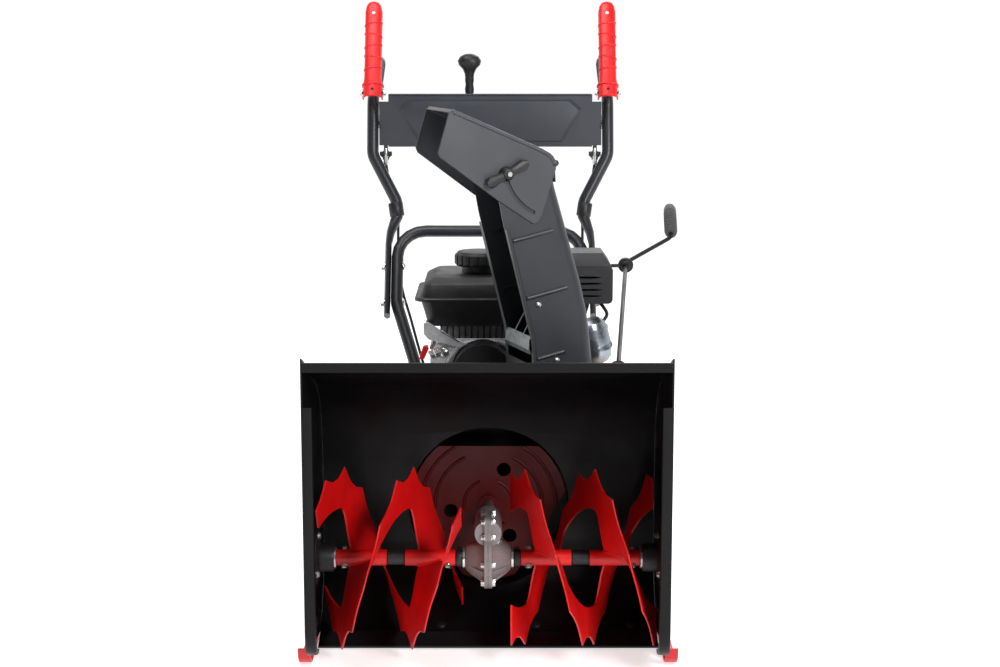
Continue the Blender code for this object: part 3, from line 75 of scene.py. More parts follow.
AUGER_Y, AUGER_Z, BARREL_R = 0.165, 0.178, 0.168
AUGER_CENTRE = at(0, AUGER_Y, AUGER_Z)
FLIGHT_PITCH, FLIGHT_END, FLIGHT_HALF, TOOTH_STEP = 0.2475, 0.2965, 0.0015, 36
RIBBON_INNER, WEB_STARTS, WEB_LENGTH, WEB_EASE = 0.088, (0.088, 0.21), 0.032, 0.02
IMPELLER_Z, DRUM_R, HOUSING_BACK = 0.23, 0.1519, 0.4312
CHUTE_X, CHUTE_Y, CHUTE_TURN, CHUTE_HALF = 0.118, 0.385, math.radians(19.5), 0.066
HINGE_U, HINGE_Z, DEFLECTOR_HALF, KNOB_REACH = 0.021, 0.868, CHUTE_HALF + 0.0031, 0.0967
AXLE_Y, AXLE_Z, TYRE_R, TYRE_MIDDLE = 0.7, 0.165, 0.165, 0.221
AXLE_CENTRE = at(0, AXLE_Y, AXLE_Z)
CRANKSHAFT_X, CRANKSHAFT_Z = -0.015, 0.42
CYLINDER_START, CYLINDER_LEAN = Vector((0.03, 0.612, 0.4)), math.radians(15)
HEADING = Vector((math.cos(CYLINDER_LEAN), 0, math.sin(CYLINDER_LEAN)))
RISE = Vector((-math.sin(CYLINDER_LEAN), 0, math.cos(CYLINDER_LEAN)))
TANK_CENTRE, CAP_CENTRE = (-0.008, 0.635), (-0.02, 0.62)
LEVER_PIVOT, LEVER_ANGLE = Vector((0.2546, 1.018, 0.968)), math.radians(65.9)
GRIP_START, GRIP_END = Vector((0.2546, 1.088, 0.9792)), Vector((0.2546, 1.215, 1.03))
CABLE_X = 0.2265
SHIFT_X, SHIFT_Y = -0.046, 1.075


# ---------------------------------------------------------------- materials
class Graph:
    """A material's node tree, with short calls for the nodes that the finishes share."""

    def __init__(self, name):
        self.material = bpy.data.materials.new(name)
        self.material.use_nodes = True
        self.tree = self.material.node_tree
        self.shader = self.tree.nodes["Principled BSDF"]
        self.place = self.tree.nodes.new("ShaderNodeTexCoord").outputs["Object"]

    def node(self, kind, **inputs):
        node = self.tree.nodes.new(kind)
        for key, value in inputs.items():
            self.feed(node.inputs[key.replace("_", " ")], value)
        return node

    def feed(self, socket, value):
        if isinstance(value, bpy.types.NodeSocket):
            self.tree.links.new(value, socket)
        else:
            socket.default_value = value

    def stretched(self, scale, vector=None):
        where = self.place if vector is None else vector
        return self.node("ShaderNodeMapping", Vector=where, Scale=scale).outputs["Vector"]

    def noise(self, scale, detail=3.0, roughness=0.55, vector=None):
        where = self.place if vector is None else vector
        node = self.node("ShaderNodeTexNoise", Vector=where, Scale=scale, Detail=detail, Roughness=roughness)
        return node.outputs["Fac"]

    def cells(self, scale):
        return self.node("ShaderNodeTexVoronoi", Vector=self.place, Scale=scale).outputs["Distance"]

    def ramp(self, value, low, high, to_low=0.0, to_high=1.0):
        node = self.tree.nodes.new("ShaderNodeMapRange")
        for number, part in enumerate((value, low, high, to_low, to_high)):
            self.feed(node.inputs[number], part)
        return node.outputs["Result"]

    def patches(self, scale, detail, to_low=0.0, to_high=1.0):
        """Soft patches that drift between two values."""
        return self.ramp(self.noise(scale, detail), 0.3, 0.7, to_low, to_high)

    def math(self, operation, first, second=0.0):
        node = self.tree.nodes.new("ShaderNodeMath")
        node.operation = operation
        self.feed(node.inputs[0], first)
        self.feed(node.inputs[1], second)
        return node.outputs["Value"]

    def mix(self, factor, first, second):
        node = self.tree.nodes.new("ShaderNodeMix")
        node.data_type = "RGBA"
        for number, part in ((0, factor), (6, first), (7, second)):
            if isinstance(part, tuple) and len(part) == 3:
                part = (*part, 1.0)
            self.feed(node.inputs[number], part)
        return node.outputs[2]

    def tones(self, factor, colour, dark, light):
        return self.mix(factor, scaled(colour, dark), scaled(colour, light))

    def plus(self, value, where, amount):
        """The value, with an amount more where the mask is 1."""
        return self.math("ADD", value, self.math("MULTIPLY", where, amount))

    def bump(self, height, strength, distance, below=None):
        node = self.node("ShaderNodeBump", Height=height, Strength=strength, Distance=distance)
        if below is not None:
            self.feed(node.inputs["Normal"], below)
        return node.outputs["Normal"]

    def set(self, **inputs):
        for key, value in inputs.items():
            self.feed(self.shader.inputs[key.replace("_", " ")], value)
        return self.material


def linear(red, green, blue):
    """A colour given as it shows on a screen, 0 to 255."""
    parts = []
    for part in (red, green, blue):
        part /= 255
        parts.append(part / 12.92 if part <= 0.04045 else ((part + 0.055) / 1.055) ** 2.4)
    return tuple(parts)


def scaled(colour, factor):
    return tuple(min(1.0, part * factor) for part in colour)


def paint(name, colour, roughness, coat=0.0, peel=0.25, metallic=0.0, dust=0.1, gleam=0.5):
    """Powder coat: orange peel, a slow drift of tone, fine dust and a few hairline rubs."""
    g = Graph(name)
    cloud = g.noise(7.0, 4.0)
    drift = g.tones(g.ramp(cloud, 0.35, 0.65), colour, 0.86, 1.14)
    speck = g.ramp(g.noise(900.0, 2.0), 0.6, 0.72)
    film = g.math("MULTIPLY", g.ramp(g.noise(30.0, 6.0, 0.7), 0.5, 0.8), dust)
    dusty = g.mix(g.math("MULTIPLY", film, speck), drift, linear(150, 150, 154))
    scratch_field = g.noise(55.0, 8.0, 0.75, g.stretched((1.0, 1.0, 14.0)))
    rubs = g.ramp(scratch_field, 0.7, 0.74)
    gloss = g.patches(16.0, 5.0, roughness - 0.06, roughness + 0.08)
    skin = g.bump(g.noise(420.0, 2.0), peel, 0.0006)
    skin = g.bump(rubs, 0.12, 0.0003, skin)
    g.set(Metallic=metallic, Specular_IOR_Level=gleam, Coat_Weight=coat, Coat_Roughness=0.12)
    return g.set(Base_Color=dusty, Roughness=g.plus(gloss, rubs, 0.12), Normal=skin)


def worn_paint(name, colour, roughness, centre, reach, width):
    """Gloss paint that the ground has scuffed past a distance from an axis along X."""
    g = Graph(name)
    drift = g.tones(g.ramp(g.noise(9.0, 4.0), 0.35, 0.65), colour, 0.84, 1.12)
    offset = g.node("ShaderNodeVectorMath", Vector=g.place)
    offset.operation = "SUBTRACT"
    offset.inputs[1].default_value = centre
    flat = g.stretched((0.0, 1.0, 1.0), offset.outputs["Vector"])
    length = g.node("ShaderNodeVectorMath", Vector=flat)
    length.operation = "LENGTH"
    edge = g.ramp(length.outputs["Value"], reach, reach + width)
    chips = g.ramp(g.noise(160.0, 6.0, 0.7), 0.5, 0.62)
    bare = g.math("MULTIPLY", edge, chips)
    colour_out = g.mix(bare, drift, linear(96, 88, 86))
    gloss = g.patches(22.0, 5.0, roughness - 0.05, roughness + 0.08)
    skin = g.bump(g.noise(380.0, 2.0), 0.22, 0.0006)
    skin = g.bump(bare, 0.35, 0.0004, skin)
    return g.set(Base_Color=colour_out, Roughness=g.plus(gloss, bare, 0.25),
                 Metallic=g.math("MULTIPLY", bare, 0.8), Normal=skin)


def plastic(name, colour, roughness, grain=0.35, scale=700.0, sheen=0.0):
    """Moulded plastic or rubber with a fine spark-eroded grain and a little handling gloss."""
    g = Graph(name)
    drift = g.tones(g.patches(12.0, 3.0), colour, 0.88, 1.16)
    haze = g.ramp(g.noise(48.0, 6.0, 0.7), 0.55, 0.85, 0.0, 0.22)
    tone = g.mix(haze, drift, scaled(linear(120, 120, 124), 0.6))
    gloss = g.patches(26.0, 5.0, roughness - 0.07, roughness + 0.09)
    skin = g.bump(g.noise(scale, 3.0, 0.6), grain, 0.0005)
    skin = g.bump(g.cells(scale * 0.45), grain * 0.3, 0.0003, skin)
    g.set(Sheen_Weight=sheen)
    return g.set(Base_Color=tone, Roughness=gloss, Normal=skin)


def metal(name, colour, roughness, stretch=(1.0, 1.0, 1.0), grain=0.15, scale=240.0, stain=0.25, bare=0.92):
    """Bare metal: brushing or casting grain, and stains that dull it."""
    g = Graph(name)
    where = g.stretched(stretch)
    lines = g.noise(scale, 6.0, 0.65, where)
    blot = g.ramp(g.noise(20.0, 6.0, 0.65), 0.45, 0.75)
    tone = g.tones(g.ramp(lines, 0.3, 0.7), colour, 0.82, 1.15)
    tone = g.mix(g.math("MULTIPLY", blot, stain), tone, scaled(colour, 0.4))
    rough = g.ramp(lines, 0.25, 0.75, roughness - 0.07, roughness + 0.1)
    skin = g.bump(lines, grain, 0.0005)
    g.set(Metallic=bare)
    return g.set(Base_Color=tone, Roughness=g.plus(rough, blot, 0.15), Normal=skin)


def galvanised(name, colour):
    """Zinc with its spangle of crystals, dull where it has aged."""
    g = Graph(name)
    spangle = g.node("ShaderNodeTexVoronoi", Vector=g.place, Scale=150.0).outputs["Color"]
    flake = g.node("ShaderNodeSeparateColor", Color=spangle).outputs["Red"]
    tone = g.tones(flake, colour, 0.72, 1.25)
    age = g.ramp(g.noise(14.0, 6.0, 0.7), 0.45, 0.75)
    tone = g.mix(g.math("MULTIPLY", age, 0.4), tone, linear(120, 122, 124))
    g.set(Metallic=0.85)
    rough = g.plus(g.ramp(flake, 0.0, 1.0, 0.3, 0.46), age, 0.18)
    return g.set(Base_Color=tone, Roughness=rough, Normal=g.bump(g.noise(300.0, 4.0), 0.15, 0.0004))


def brown_footed_metal(name, colour, low, high):
    """A silencer skin that is browner towards its foot."""
    g = Graph(name)
    height = g.node("ShaderNodeSeparateXYZ", Vector=g.place).outputs["Z"]
    edge = g.math("ADD", height, g.patches(60.0, 5.0, -0.004, 0.004))
    brown = g.ramp(edge, low, high, 1.0, 0.0)
    drift = g.tones(g.patches(30.0, 5.0), colour, 0.8, 1.2)
    tone = g.mix(g.math("MULTIPLY", brown, 0.6), drift, linear(120, 92, 62))
    g.set(Metallic=0.92)
    rough = g.plus(g.patches(90.0, 5.0, 0.2, 0.32), brown, 0.15)
    return g.set(Base_Color=tone, Roughness=rough, Normal=g.bump(g.noise(260.0, 4.0), 0.18, 0.0004))


def tyre_rubber(name, colour):
    """Tyre rubber, greyer where the tread has been dusted."""
    g = Graph(name)
    drift = g.tones(g.patches(18.0, 5.0), colour, 0.8, 1.35)
    dust = g.ramp(g.noise(70.0, 7.0, 0.75), 0.5, 0.85, 0.0, 0.35)
    tone = g.mix(dust, drift, linear(104, 100, 94))
    rough = g.patches(35.0, 5.0, 0.7, 0.9)
    skin = g.bump(g.noise(520.0, 4.0), 0.45, 0.0006)
    return g.set(Base_Color=tone, Roughness=rough, Normal=skin)


def make_materials():
    at_auger = tuple(at(0, AUGER_Y, AUGER_Z))
    finishes = {
        "housing_paint": (paint, (11, 11, 13), 0.4, dict(peel=0.3, dust=0.03, gleam=0.2)),
        "panel_paint": (paint, (50, 53, 60), 0.42, dict(peel=0.3, dust=0.05)),
        "tube_paint": (paint, (34, 35, 40), 0.36, dict(peel=0.18, dust=0.05)),
        "chute_paint": (paint, (44, 46, 51), 0.4, dict(peel=0.28, dust=0.04)),
        # The deflector's paint is the chute's grey made lighter: painted light for the deflector's brighter
        # lit cheeks.
        "deflector_paint": (paint, (64, 65, 70), 0.38, dict(peel=0.28, dust=0.04)),
        "auger_paint": (worn_paint, (212, 10, 12), 0.4, dict(centre=at_auger, reach=0.1535, width=0.006)),
        "skid_paint": (paint, (200, 14, 18), 0.4, dict(peel=0.22, dust=0.1)),
        # The impeller's red is darkened to a deep red: partly its paint, partly painted shade for its place
        # deep in the housing.
        "impeller_paint": (paint, (72, 2, 3), 0.38, dict(peel=0.24, dust=0.02, gleam=0.22)),
        "lever_plastic": (plastic, (222, 22, 25), 0.36, dict(grain=0.18, scale=520.0)),
        "black_plastic": (plastic, (22, 22, 24), 0.46, dict(grain=0.4)),
        "hood_plastic": (plastic, (36, 36, 40), 0.44, dict(grain=0.35)),
        "grip_rubber": (plastic, (62, 61, 65), 0.66, dict(grain=0.5, scale=420.0, sheen=0.15)),
        "rubber": (plastic, (24, 24, 26), 0.62, dict(grain=0.45, scale=500.0)),
        "black_steel": (paint, (24, 24, 27), 0.4, dict(peel=0.15, dust=0.06, gleam=0.25)),
        "steel": (metal, (176, 178, 182), 0.26, dict(stretch=(1.0, 12.0, 12.0), grain=0.1)),
        "zinc_bolt": (metal, (214, 214, 212), 0.22, dict(grain=0.1, scale=900.0, stain=0.2)),
        "sheet_steel": (metal, (212, 212, 214), 0.3, dict(grain=0.1, scale=60.0, stain=0.12, bare=0.5)),
        "gearbox_casting": (metal, (138, 132, 132), 0.46, dict(grain=0.55, scale=330.0, bare=0.35)),
        "engine_casting": (metal, (206, 206, 208), 0.4, dict(grain=0.4, scale=300.0, bare=0.25)),
        "dark_casting": (metal, (58, 58, 60), 0.44, dict(grain=0.5, scale=300.0, bare=0.4)),
        "galvanised": (galvanised, (150, 156, 156), None, {}),
        "rim_paint": (paint, (210, 210, 206), 0.36, dict(coat=0.15, peel=0.2, dust=0.2)),
        "silencer_skin": (brown_footed_metal, (150, 158, 166), None, dict(low=0.472, high=0.486)),
        "tyre": (tyre_rubber, (34, 34, 34), None, {}),
        # A near black that stands in for the shade inside slits, openings and recesses: painted shade.
        "dark_recess": (plastic, (14, 14, 16), 0.7, dict(grain=0.3)),
        "amber_plastic": (plastic, (186, 14, 20), 0.38, dict(grain=0.2)),
    }
    materials = {}
    for name, (finish, colour, roughness, options) in finishes.items():
        if roughness is not None:
            options["roughness"] = roughness
        materials[name] = finish(name, linear(*colour), **options)
    return materials


# ---------------------------------------------------------------- mesh builders
def loft(bm, rings, closed=False, caps=True):
    loops = [[bm.verts.new(point) for point in ring] for ring in rings]
    pairs = list(zip(loops, loops[1:]))
    if closed:
        pairs.append((loops[-1], loops[0]))
    for first, second in pairs:
        for i in range(len(first)):
            j = (i + 1) % len(first)
            bm.faces.new((first[i], first[j], second[j], second[i]))
    if caps and not closed:
        bm.faces.new(loops[0])
        bm.faces.new(loops[-1])


def prism(bm, outline, axis, low, high):
    """Extrude an outline in the machine frame along X, Y or Z."""
    place = {"X": lambda p, d: at(d, p[0], p[1]), "Y": lambda p, d: at(p[0], d, p[1]),
             "Z": lambda p, d: at(p[0], p[1], d)}[axis]
    loft(bm, [[place(p, d) for p in outline] for d in (low, high)])


def block(bm, low, high):
    (x0, y0, z0), (x1, y1, z1) = low, high
    prism(bm, [(x0, y0), (x1, y0), (x1, y1), (x0, y1)], "Z", z0, z1)


def across(direction):
    w = Vector(direction).normalized()
    guide = Z if abs(w.z) < 0.9 else X
    u = guide.cross(w).normalized()
    return u, w.cross(u)


def lathe(bm, profile, centre, axis, steps=32):
    """Turn a profile of (radius, distance along the axis); a zero radius closes it on the axis."""
    w = Vector(axis).normalized()
    u, v = across(w)
    rows = []
    for radius, along in profile:
        base = Vector(centre) + w * along
        if radius <= 0:
            rows.append([bm.verts.new(base)])
            continue
        rows.append([bm.verts.new(base + (u * math.cos(t) + v * math.sin(t)) * radius) for t in turns(steps)])
    for first, second in zip(rows, rows[1:] + rows[:1]):
        for i in range(steps):
            j = (i + 1) % steps
            corners = [row[k % len(row)] for row, k in ((first, i), (first, j), (second, j), (second, i))]
            corners = list(dict.fromkeys(corners))
            if len(corners) > 2:
                bm.faces.new(corners)


def tube(bm, path, radius, sides=12, closed=False):
    count = len(path)
    side = None
    rings = []
    for i, point in enumerate(path):
        ahead = path[(i + 1) % count] if closed else path[min(i + 1, count - 1)]
        behind = path[i - 1] if closed else path[max(i - 1, 0)]
        tangent = (ahead - behind).normalized()
        side = across(tangent)[0] if side is None else (side - tangent * side.dot(tangent)).normalized()
        other = tangent.cross(side)
        rings.append([point + (side * math.cos(t) + other * math.sin(t)) * radius for t in turns(sides)])
    loft(bm, rings, closed)


def smooth_route(points, steps):
    knots = [points[0], *points, points[-1]]
    curve = []
    for p0, p1, p2, p3 in zip(knots, knots[1:], knots[2:], knots[3:]):
        for i in range(steps):
            t = i / steps
            curve.append(0.5 * (2 * p1 + (p2 - p0) * t + (2 * p0 - 5 * p1 + 4 * p2 - p3) * t * t
                                + (3 * p1 - p0 - 3 * p2 + p3) * t ** 3))
    return curve + [points[-1]]


def turns(count):
    """Angles spread evenly round a full turn."""
    return [2 * math.pi * i / count for i in range(count)]


def shares(count):
    """Even steps from 0 to 1."""
    return [i / count for i in range(count + 1)]


def radial(angle):
    """Outward from an axis along X."""
    return Vector((0, math.cos(angle), math.sin(angle)))


def on_circle(centre, radius, degrees):
    angle = math.radians(degrees)
    return centre[0] + radius * math.cos(angle), centre[1] + radius * math.sin(angle)


def circle(centre, radius, steps, start=0.0, end=360.0):
    """Points on an arc in a plane, as number pairs."""
    return [on_circle(centre, radius, start + (end - start) * i / steps) for i in range(steps + 1)]


def disc(bm, radius, low, high, centre, axis, steps):
    lathe(bm, [(0, low), (radius, low), (radius, high), (0, high)], centre, axis, steps)


def collar(bm, inner, outer, low, high, centre, axis, steps):
    lathe(bm, [(inner, low), (outer, low), (outer, high), (inner, high)], centre, axis, steps)


def hex_bolt(bm, seat, axis, radius, height=None, washer=True):
    """A chamfered hexagon head on its washer, with the seat on the surface and the axis pointing out."""
    tall = height or radius * 0.75
    start = 0.0
    if washer:
        disc(bm, radius * 1.45, -0.0008, radius * 0.16, seat, axis, 20)
        start = radius * 0.14
    lathe(bm, [(0, start), (radius, start), (radius, start + tall * 0.84), (radius * 0.86, start + tall),
               (0, start + tall)], seat, axis, 6)


def dome_bolt(bm, seat, axis, radius, height=None):
    tall = height or radius * 0.55
    profile = [(0, -0.0008), (radius, -0.0008)]
    for i in range(6):
        angle = math.pi / 2 * i / 6
        profile.append((radius * math.cos(angle), tall * math.sin(angle)))
    lathe(bm, profile + [(0, tall)], seat, axis, 20)


def piece(name, bm, material, body="chassis", sharp=35, bevel=0.0):
    """A finished piece of the machine, which rides on a body unless that is None."""
    bmesh.ops.recalc_face_normals(bm, faces=bm.faces)
    mesh = bpy.data.meshes.new(name)
    bm.to_mesh(mesh)
    bm.free()
    mesh.shade_smooth()
    mesh.set_sharp_from_angle(angle=math.radians(sharp))
    obj = bpy.data.objects.new(name, mesh)
    bpy.context.scene.collection.objects.link(obj)
    obj.data.materials.append(MATERIALS[material])
    if bevel:
        soften(obj, bevel)
    if body:
        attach(obj, body)
    return obj


def soften(obj, width, segments=2):
    modifier = obj.modifiers.new("edge", "BEVEL")
    modifier.width = width
    modifier.segments = segments
    modifier.limit_method = "ANGLE"
    modifier.angle_limit = math.radians(40)


# ---------------------------------------------------------------- finishes on the CAD's own pieces
def dress_cad():
    """Each carried-over node takes its finish, and its facets are smoothed where they stand for a curve."""
    finishes = {record["node"]: record["material_slot"] for record in frame["record"]["subparts"]}
    special = {
        "handle_frame": "tube_paint", "handle_left": "tube_paint", "handle_right": "tube_paint",
        "control_panel": "panel_paint", "heat_hood": "hood_plastic", "silencer": "silencer_skin",
        "grip_left": "grip_rubber", "grip_right": "grip_rubber", "crank_grip": "grip_rubber",
        "wheel_rim_left": "rim_paint", "wheel_rim_right": "rim_paint", "crank_rod": "black_steel",
        # the deflector takes the lighter copy of the chute paint, which is painted light
        "crank_eye": "rubber", "shift_lever": "sheet_steel", "chute_deflector": "deflector_paint",
    }
    plain = {"bright_steel": "steel"}
    for name, obj in NODES.items():
        slot = finishes[name]
        material = special.get(name, plain.get(slot, slot))
        obj.data.materials.clear()
        obj.data.materials.append(MATERIALS[material])
        weld = obj.modifiers.new("weld", "WELD")
        weld.merge_threshold = 0.00002
        obj.data.shade_smooth()
        smooth = obj.modifiers.new("smooth", "NODES")
        smooth.node_group = smooth_group()


def smooth_group():
    """Shade smooth except across edges over 30 degrees."""
    group = bpy.data.node_groups.get("smooth_by_edge_angle")
    if group:
        return group
    group = bpy.data.node_groups.new("smooth_by_edge_angle", "GeometryNodeTree")
    group.interface.new_socket("Geometry", in_out="INPUT", socket_type="NodeSocketGeometry")
    group.interface.new_socket("Geometry", in_out="OUTPUT", socket_type="NodeSocketGeometry")
    nodes, links = group.nodes, group.links
    start, end = nodes.new("NodeGroupInput"), nodes.new("NodeGroupOutput")
    angle = nodes.new("GeometryNodeInputMeshEdgeAngle")
    compare = nodes.new("FunctionNodeCompare")
    compare.operation = "LESS_THAN"
    compare.inputs[1].default_value = math.radians(33)
    faces = nodes.new("GeometryNodeSetShadeSmooth")
    edges = nodes.new("GeometryNodeSetShadeSmooth")
    edges.domain = "EDGE"
    links.new(angle.outputs["Unsigned Angle"], compare.inputs[0])
    links.new(start.outputs[0], faces.inputs["Geometry"])
    links.new(faces.outputs[0], edges.inputs["Geometry"])
    links.new(compare.outputs[0], edges.inputs["Shade Smooth"])
    links.new(edges.outputs[0], end.inputs[0])
    return group


# ---------------------------------------------------------------- auger housing
def make_housing_details():
    bolts, dark_bolts = bmesh.new(), bmesh.new()
    inward = -radial(math.radians(-63))
    for x in (-0.261, -0.087, 0.087, 0.261):
        dome_bolt(dark_bolts, AUGER_CENTRE + X * x - inward * BARREL_R, inward, 0.009, 0.0035)
    plate_inside, skid_outside, skid_bolt_z = 0.3077, 0.3155, 0.062
    for side in (-1, 1):
        for y in (0.16, 0.232):
            dome_bolt(dark_bolts, at(side * plate_inside, y, skid_bolt_z), -X * side, 0.009, 0.0035)
            hex_bolt(bolts, at(side * skid_outside, y, skid_bolt_z), X * side, 0.0065)
        for degrees in (90, 210, 330):
            y, z = on_circle((AUGER_Y, AUGER_Z), 0.04, degrees)
            hex_bolt(bolts, at(side * 0.3012, y, z), -X * side, 0.005)
    piece("housing_bolts", bolts, "zinc_bolt")
    piece("housing_inner_bolts", dark_bolts, "black_steel")

    flanges = bmesh.new()
    corner = circle((0.055, 0.093), 0.055, 8, 268, 182)
    edge = [(0.055, 0.038), *corner, (0.0, 0.11), (0.0, 0.3), (0.0, 0.484)]
    profile = [(0.3108, 0.006), (0.3108, 0.0022), (0.309, 0.0004), (0.306, 0.0001), (0.297, 0.0001),
               (0.2935, 0.0008), (0.292, 0.003), (0.292, 0.009), (0.2945, 0.009), (0.2945, 0.004),
               (0.296, 0.0026), (0.306, 0.0026), (0.3078, 0.004), (0.3078, 0.006)]
    for side in (-1, 1):
        rings = []
        for number, (y, z) in enumerate(edge):
            behind, ahead = Vector(edge[max(number - 1, 0)]), Vector(edge[min(number + 1, len(edge) - 1)])
            run = (ahead - behind).normalized()
            rings.append([at(side * x, y + run.y * depth, z - run.x * depth) for x, depth in profile])
        loft(flanges, rings)
    piece("side_plate_flanges", flanges, "housing_paint", sharp=40)

    seam = bmesh.new()
    centre = at(0, HOUSING_BACK, IMPELLER_Z)
    ring = [centre + (X * math.cos(t) + Z * math.sin(t)) * DRUM_R for t in turns(72)]
    tube(seam, ring, 0.0018, 8, closed=True)
    piece("drum_seam", seam, "housing_paint")


def flight_inner_radius(distance):
    """Inner edge of a flight, which runs in to the tube at each tube length's web."""
    for start in WEB_STARTS:
        away = max(start - distance, distance - start - WEB_LENGTH, 0.0)
        if away < WEB_EASE:
            ease = 0.5 - 0.5 * math.cos(math.pi * away / WEB_EASE)
            return 0.013 + (RIBBON_INNER - 0.013) * ease
    return RIBBON_INNER


def flight_outer_radius(side, degrees):
    """Outer edge, a broad sharp tooth every 36 degrees with a hollow between; degrees from the top."""
    phase = (degrees - (TOOTH_STEP / 2 if side < 0 else 0)) / TOOTH_STEP
    phase -= round(phase)
    spike = max(0.0, 1 - abs(phase) / 0.42)
    return 0.1392 + 0.0227 * spike ** 1.5 + 0.0022 * abs(phase)


def make_flights():
    """Toothed ribbon flights on their tubes, in place of the coarser CAD ones."""
    tops = {-1: 0.1465, 1: 0.0655}
    starts = {-1: -144.0, 1: -36.0}
    for side, word in SIDES:
        bm = bmesh.new()
        for start, end in ((0.058, 0.148), (0.18, 0.27)):
            profile = [(0.0103, start), (0.0134, start), (0.0142, start + 0.0008), (0.0142, end - 0.0008),
                       (0.0134, end), (0.0103, end)]
            lathe(bm, profile, AUGER_CENTRE, X * side, 40)
        for half_turn in (0.0, 0.5):
            rings = []
            count = int((FLIGHT_END - tops[side]) / FLIGHT_PITCH * 180 - starts[side] / 2)
            for i in range(count + 1):
                degrees = starts[side] + 2.0 * i
                distance = tops[side] + FLIGHT_PITCH * degrees / 360
                out = radial(math.radians(90 + degrees + 360 * half_turn))
                inner, outer = flight_inner_radius(distance), flight_outer_radius(side, degrees)
                middle, shoulder = (inner + 0.1395) / 2, outer - 0.0012
                section = ((inner, -1), (middle, -1), (shoulder, -1), (outer, -0.4),
                           (outer, 0.4), (shoulder, 1), (middle, 1), (inner, 1))
                rings.append([AUGER_CENTRE + X * side * (distance + FLIGHT_HALF * shift) + out * radius
                              for radius, shift in section])
            loft(bm, rings)
        for start, half_turn, face in itertools.product(WEB_STARTS, (0.0, 0.5), (-1, 1)):
            weld = []
            for share in shares(16):
                distance = start - 0.004 + 0.04 * share
                out = radial(math.radians(90 + 360 * ((distance - tops[side]) / FLIGHT_PITCH + half_turn)))
                weld.append(AUGER_CENTRE + X * side * (distance + face * 0.0022) + out * 0.0148)
            tube(bm, weld, 0.0018, 8)
        flights = piece("auger_flights_" + word, bm, "auger_paint", "auger_set", sharp=32)
        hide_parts("auger_" + word)


def make_auger_details():
    rings, collars, bolts = bmesh.new(), bmesh.new(), bmesh.new()
    bore = 0.0101
    down = Vector((0, -0.52, -0.85)).normalized()
    for side in (-1, 1):
        axis = X * side
        collar(rings, bore, 0.019, 0.0412, 0.045, AUGER_CENTRE, axis, 32)
        collar(rings, bore, 0.0195, 0.2703, 0.2732, AUGER_CENTRE, axis, 32)
        lathe(collars, [(bore, 0.0455), (0.015, 0.0455), (0.0158, 0.047), (0.0158, 0.056), (0.015, 0.0575),
                        (bore, 0.0575)], AUGER_CENTRE, axis, 32)
        collar(collars, bore, 0.0128, 0.15, 0.178, AUGER_CENTRE, axis, 28)
        for x in (0.072, 0.256):
            spot = AUGER_CENTRE + axis * x
            hex_bolt(bolts, spot + down * 0.0139, down, 0.0055, 0.0045)
            hex_bolt(bolts, spot - down * 0.0139, -down, 0.0055, 0.006, washer=False)
    piece("auger_thrust_rings", rings, "zinc_bolt", "auger_set")
    piece("auger_collars", collars, "black_plastic", "auger_set")
    piece("shear_bolts", bolts, "zinc_bolt", "auger_set")


def make_gearbox_details():
    bolts = bmesh.new()
    spots = [(0.1345, 0.252), (0.134, 0.224), (0.162, 0.256), (0.19, 0.253), (0.19, 0.213)]
    spots += [on_circle((AUGER_Y, AUGER_Z), 0.0465, degrees) for degrees in (180, 228, 262, 300, 345)]
    for side in (-1, 1):
        for y, z in spots:
            hex_bolt(bolts, at(side * 0.0065, y, z), X * side, 0.005, 0.0058)
    hex_bolt(bolts, at(0.017, 0.146, 0.2135), Vector((0.7, -0.55, -0.45)), 0.0062, 0.0045)
    piece("gearbox_bolts", bolts, "zinc_bolt")
    webs = bmesh.new()
    for side, degrees in itertools.product((-1, 1), (200, 250, 300, 350)):
        out = radial(math.radians(degrees))
        tangent = out.cross(X)
        rings = []
        for x, inner, outer in ((0.0345, 0.02, 0.0262), (0.007, 0.038, 0.0462)):
            spot = AUGER_CENTRE + X * side * x
            rings.append([spot + out * inner - tangent * 0.0016, spot + out * inner + tangent * 0.0016,
                          spot + out * outer + tangent * 0.0012, spot + out * outer - tangent * 0.0012])
        loft(webs, rings)
    piece("gearbox_webs", webs, "gearbox_casting", bevel=0.0006)


def make_impeller_details():
    ribs = bmesh.new()
    for lobe in (30, 150, 270):
        for radius, reach in ((0.046, 40), (0.1, 34), (0.126, 30)):
            points = circle((0, IMPELLER_Z), radius, 16, lobe - reach, lobe + reach)
            tube(ribs, [at(x, 0.339, z) for x, z in points], 0.003, 8)
    piece("impeller_ribs", ribs, "impeller_paint", "impeller_set", sharp=50)


# ---------------------------------------------------------------- chute
def chute(u, w, z):
    """u along the discharge, w towards the side that faces forward."""
    c, s = math.cos(CHUTE_TURN), math.sin(CHUTE_TURN)
    return at(CHUTE_X - u * c + w * s, CHUTE_Y - u * s - w * c, z)


NEAR = chute(0, 1, 0) - chute(0, 0, 0)


def chute_front(z):
    knots = [(0.472, 0.062), (0.548, 0.066), (0.675, 0.098), (0.803, 0.13)]
    for (z0, u0), (z1, u1) in zip(knots, knots[1:]):
        if z <= z1:
            return u0 + (u1 - u0) * (z - z0) / (z1 - z0)
    return knots[-1][1]


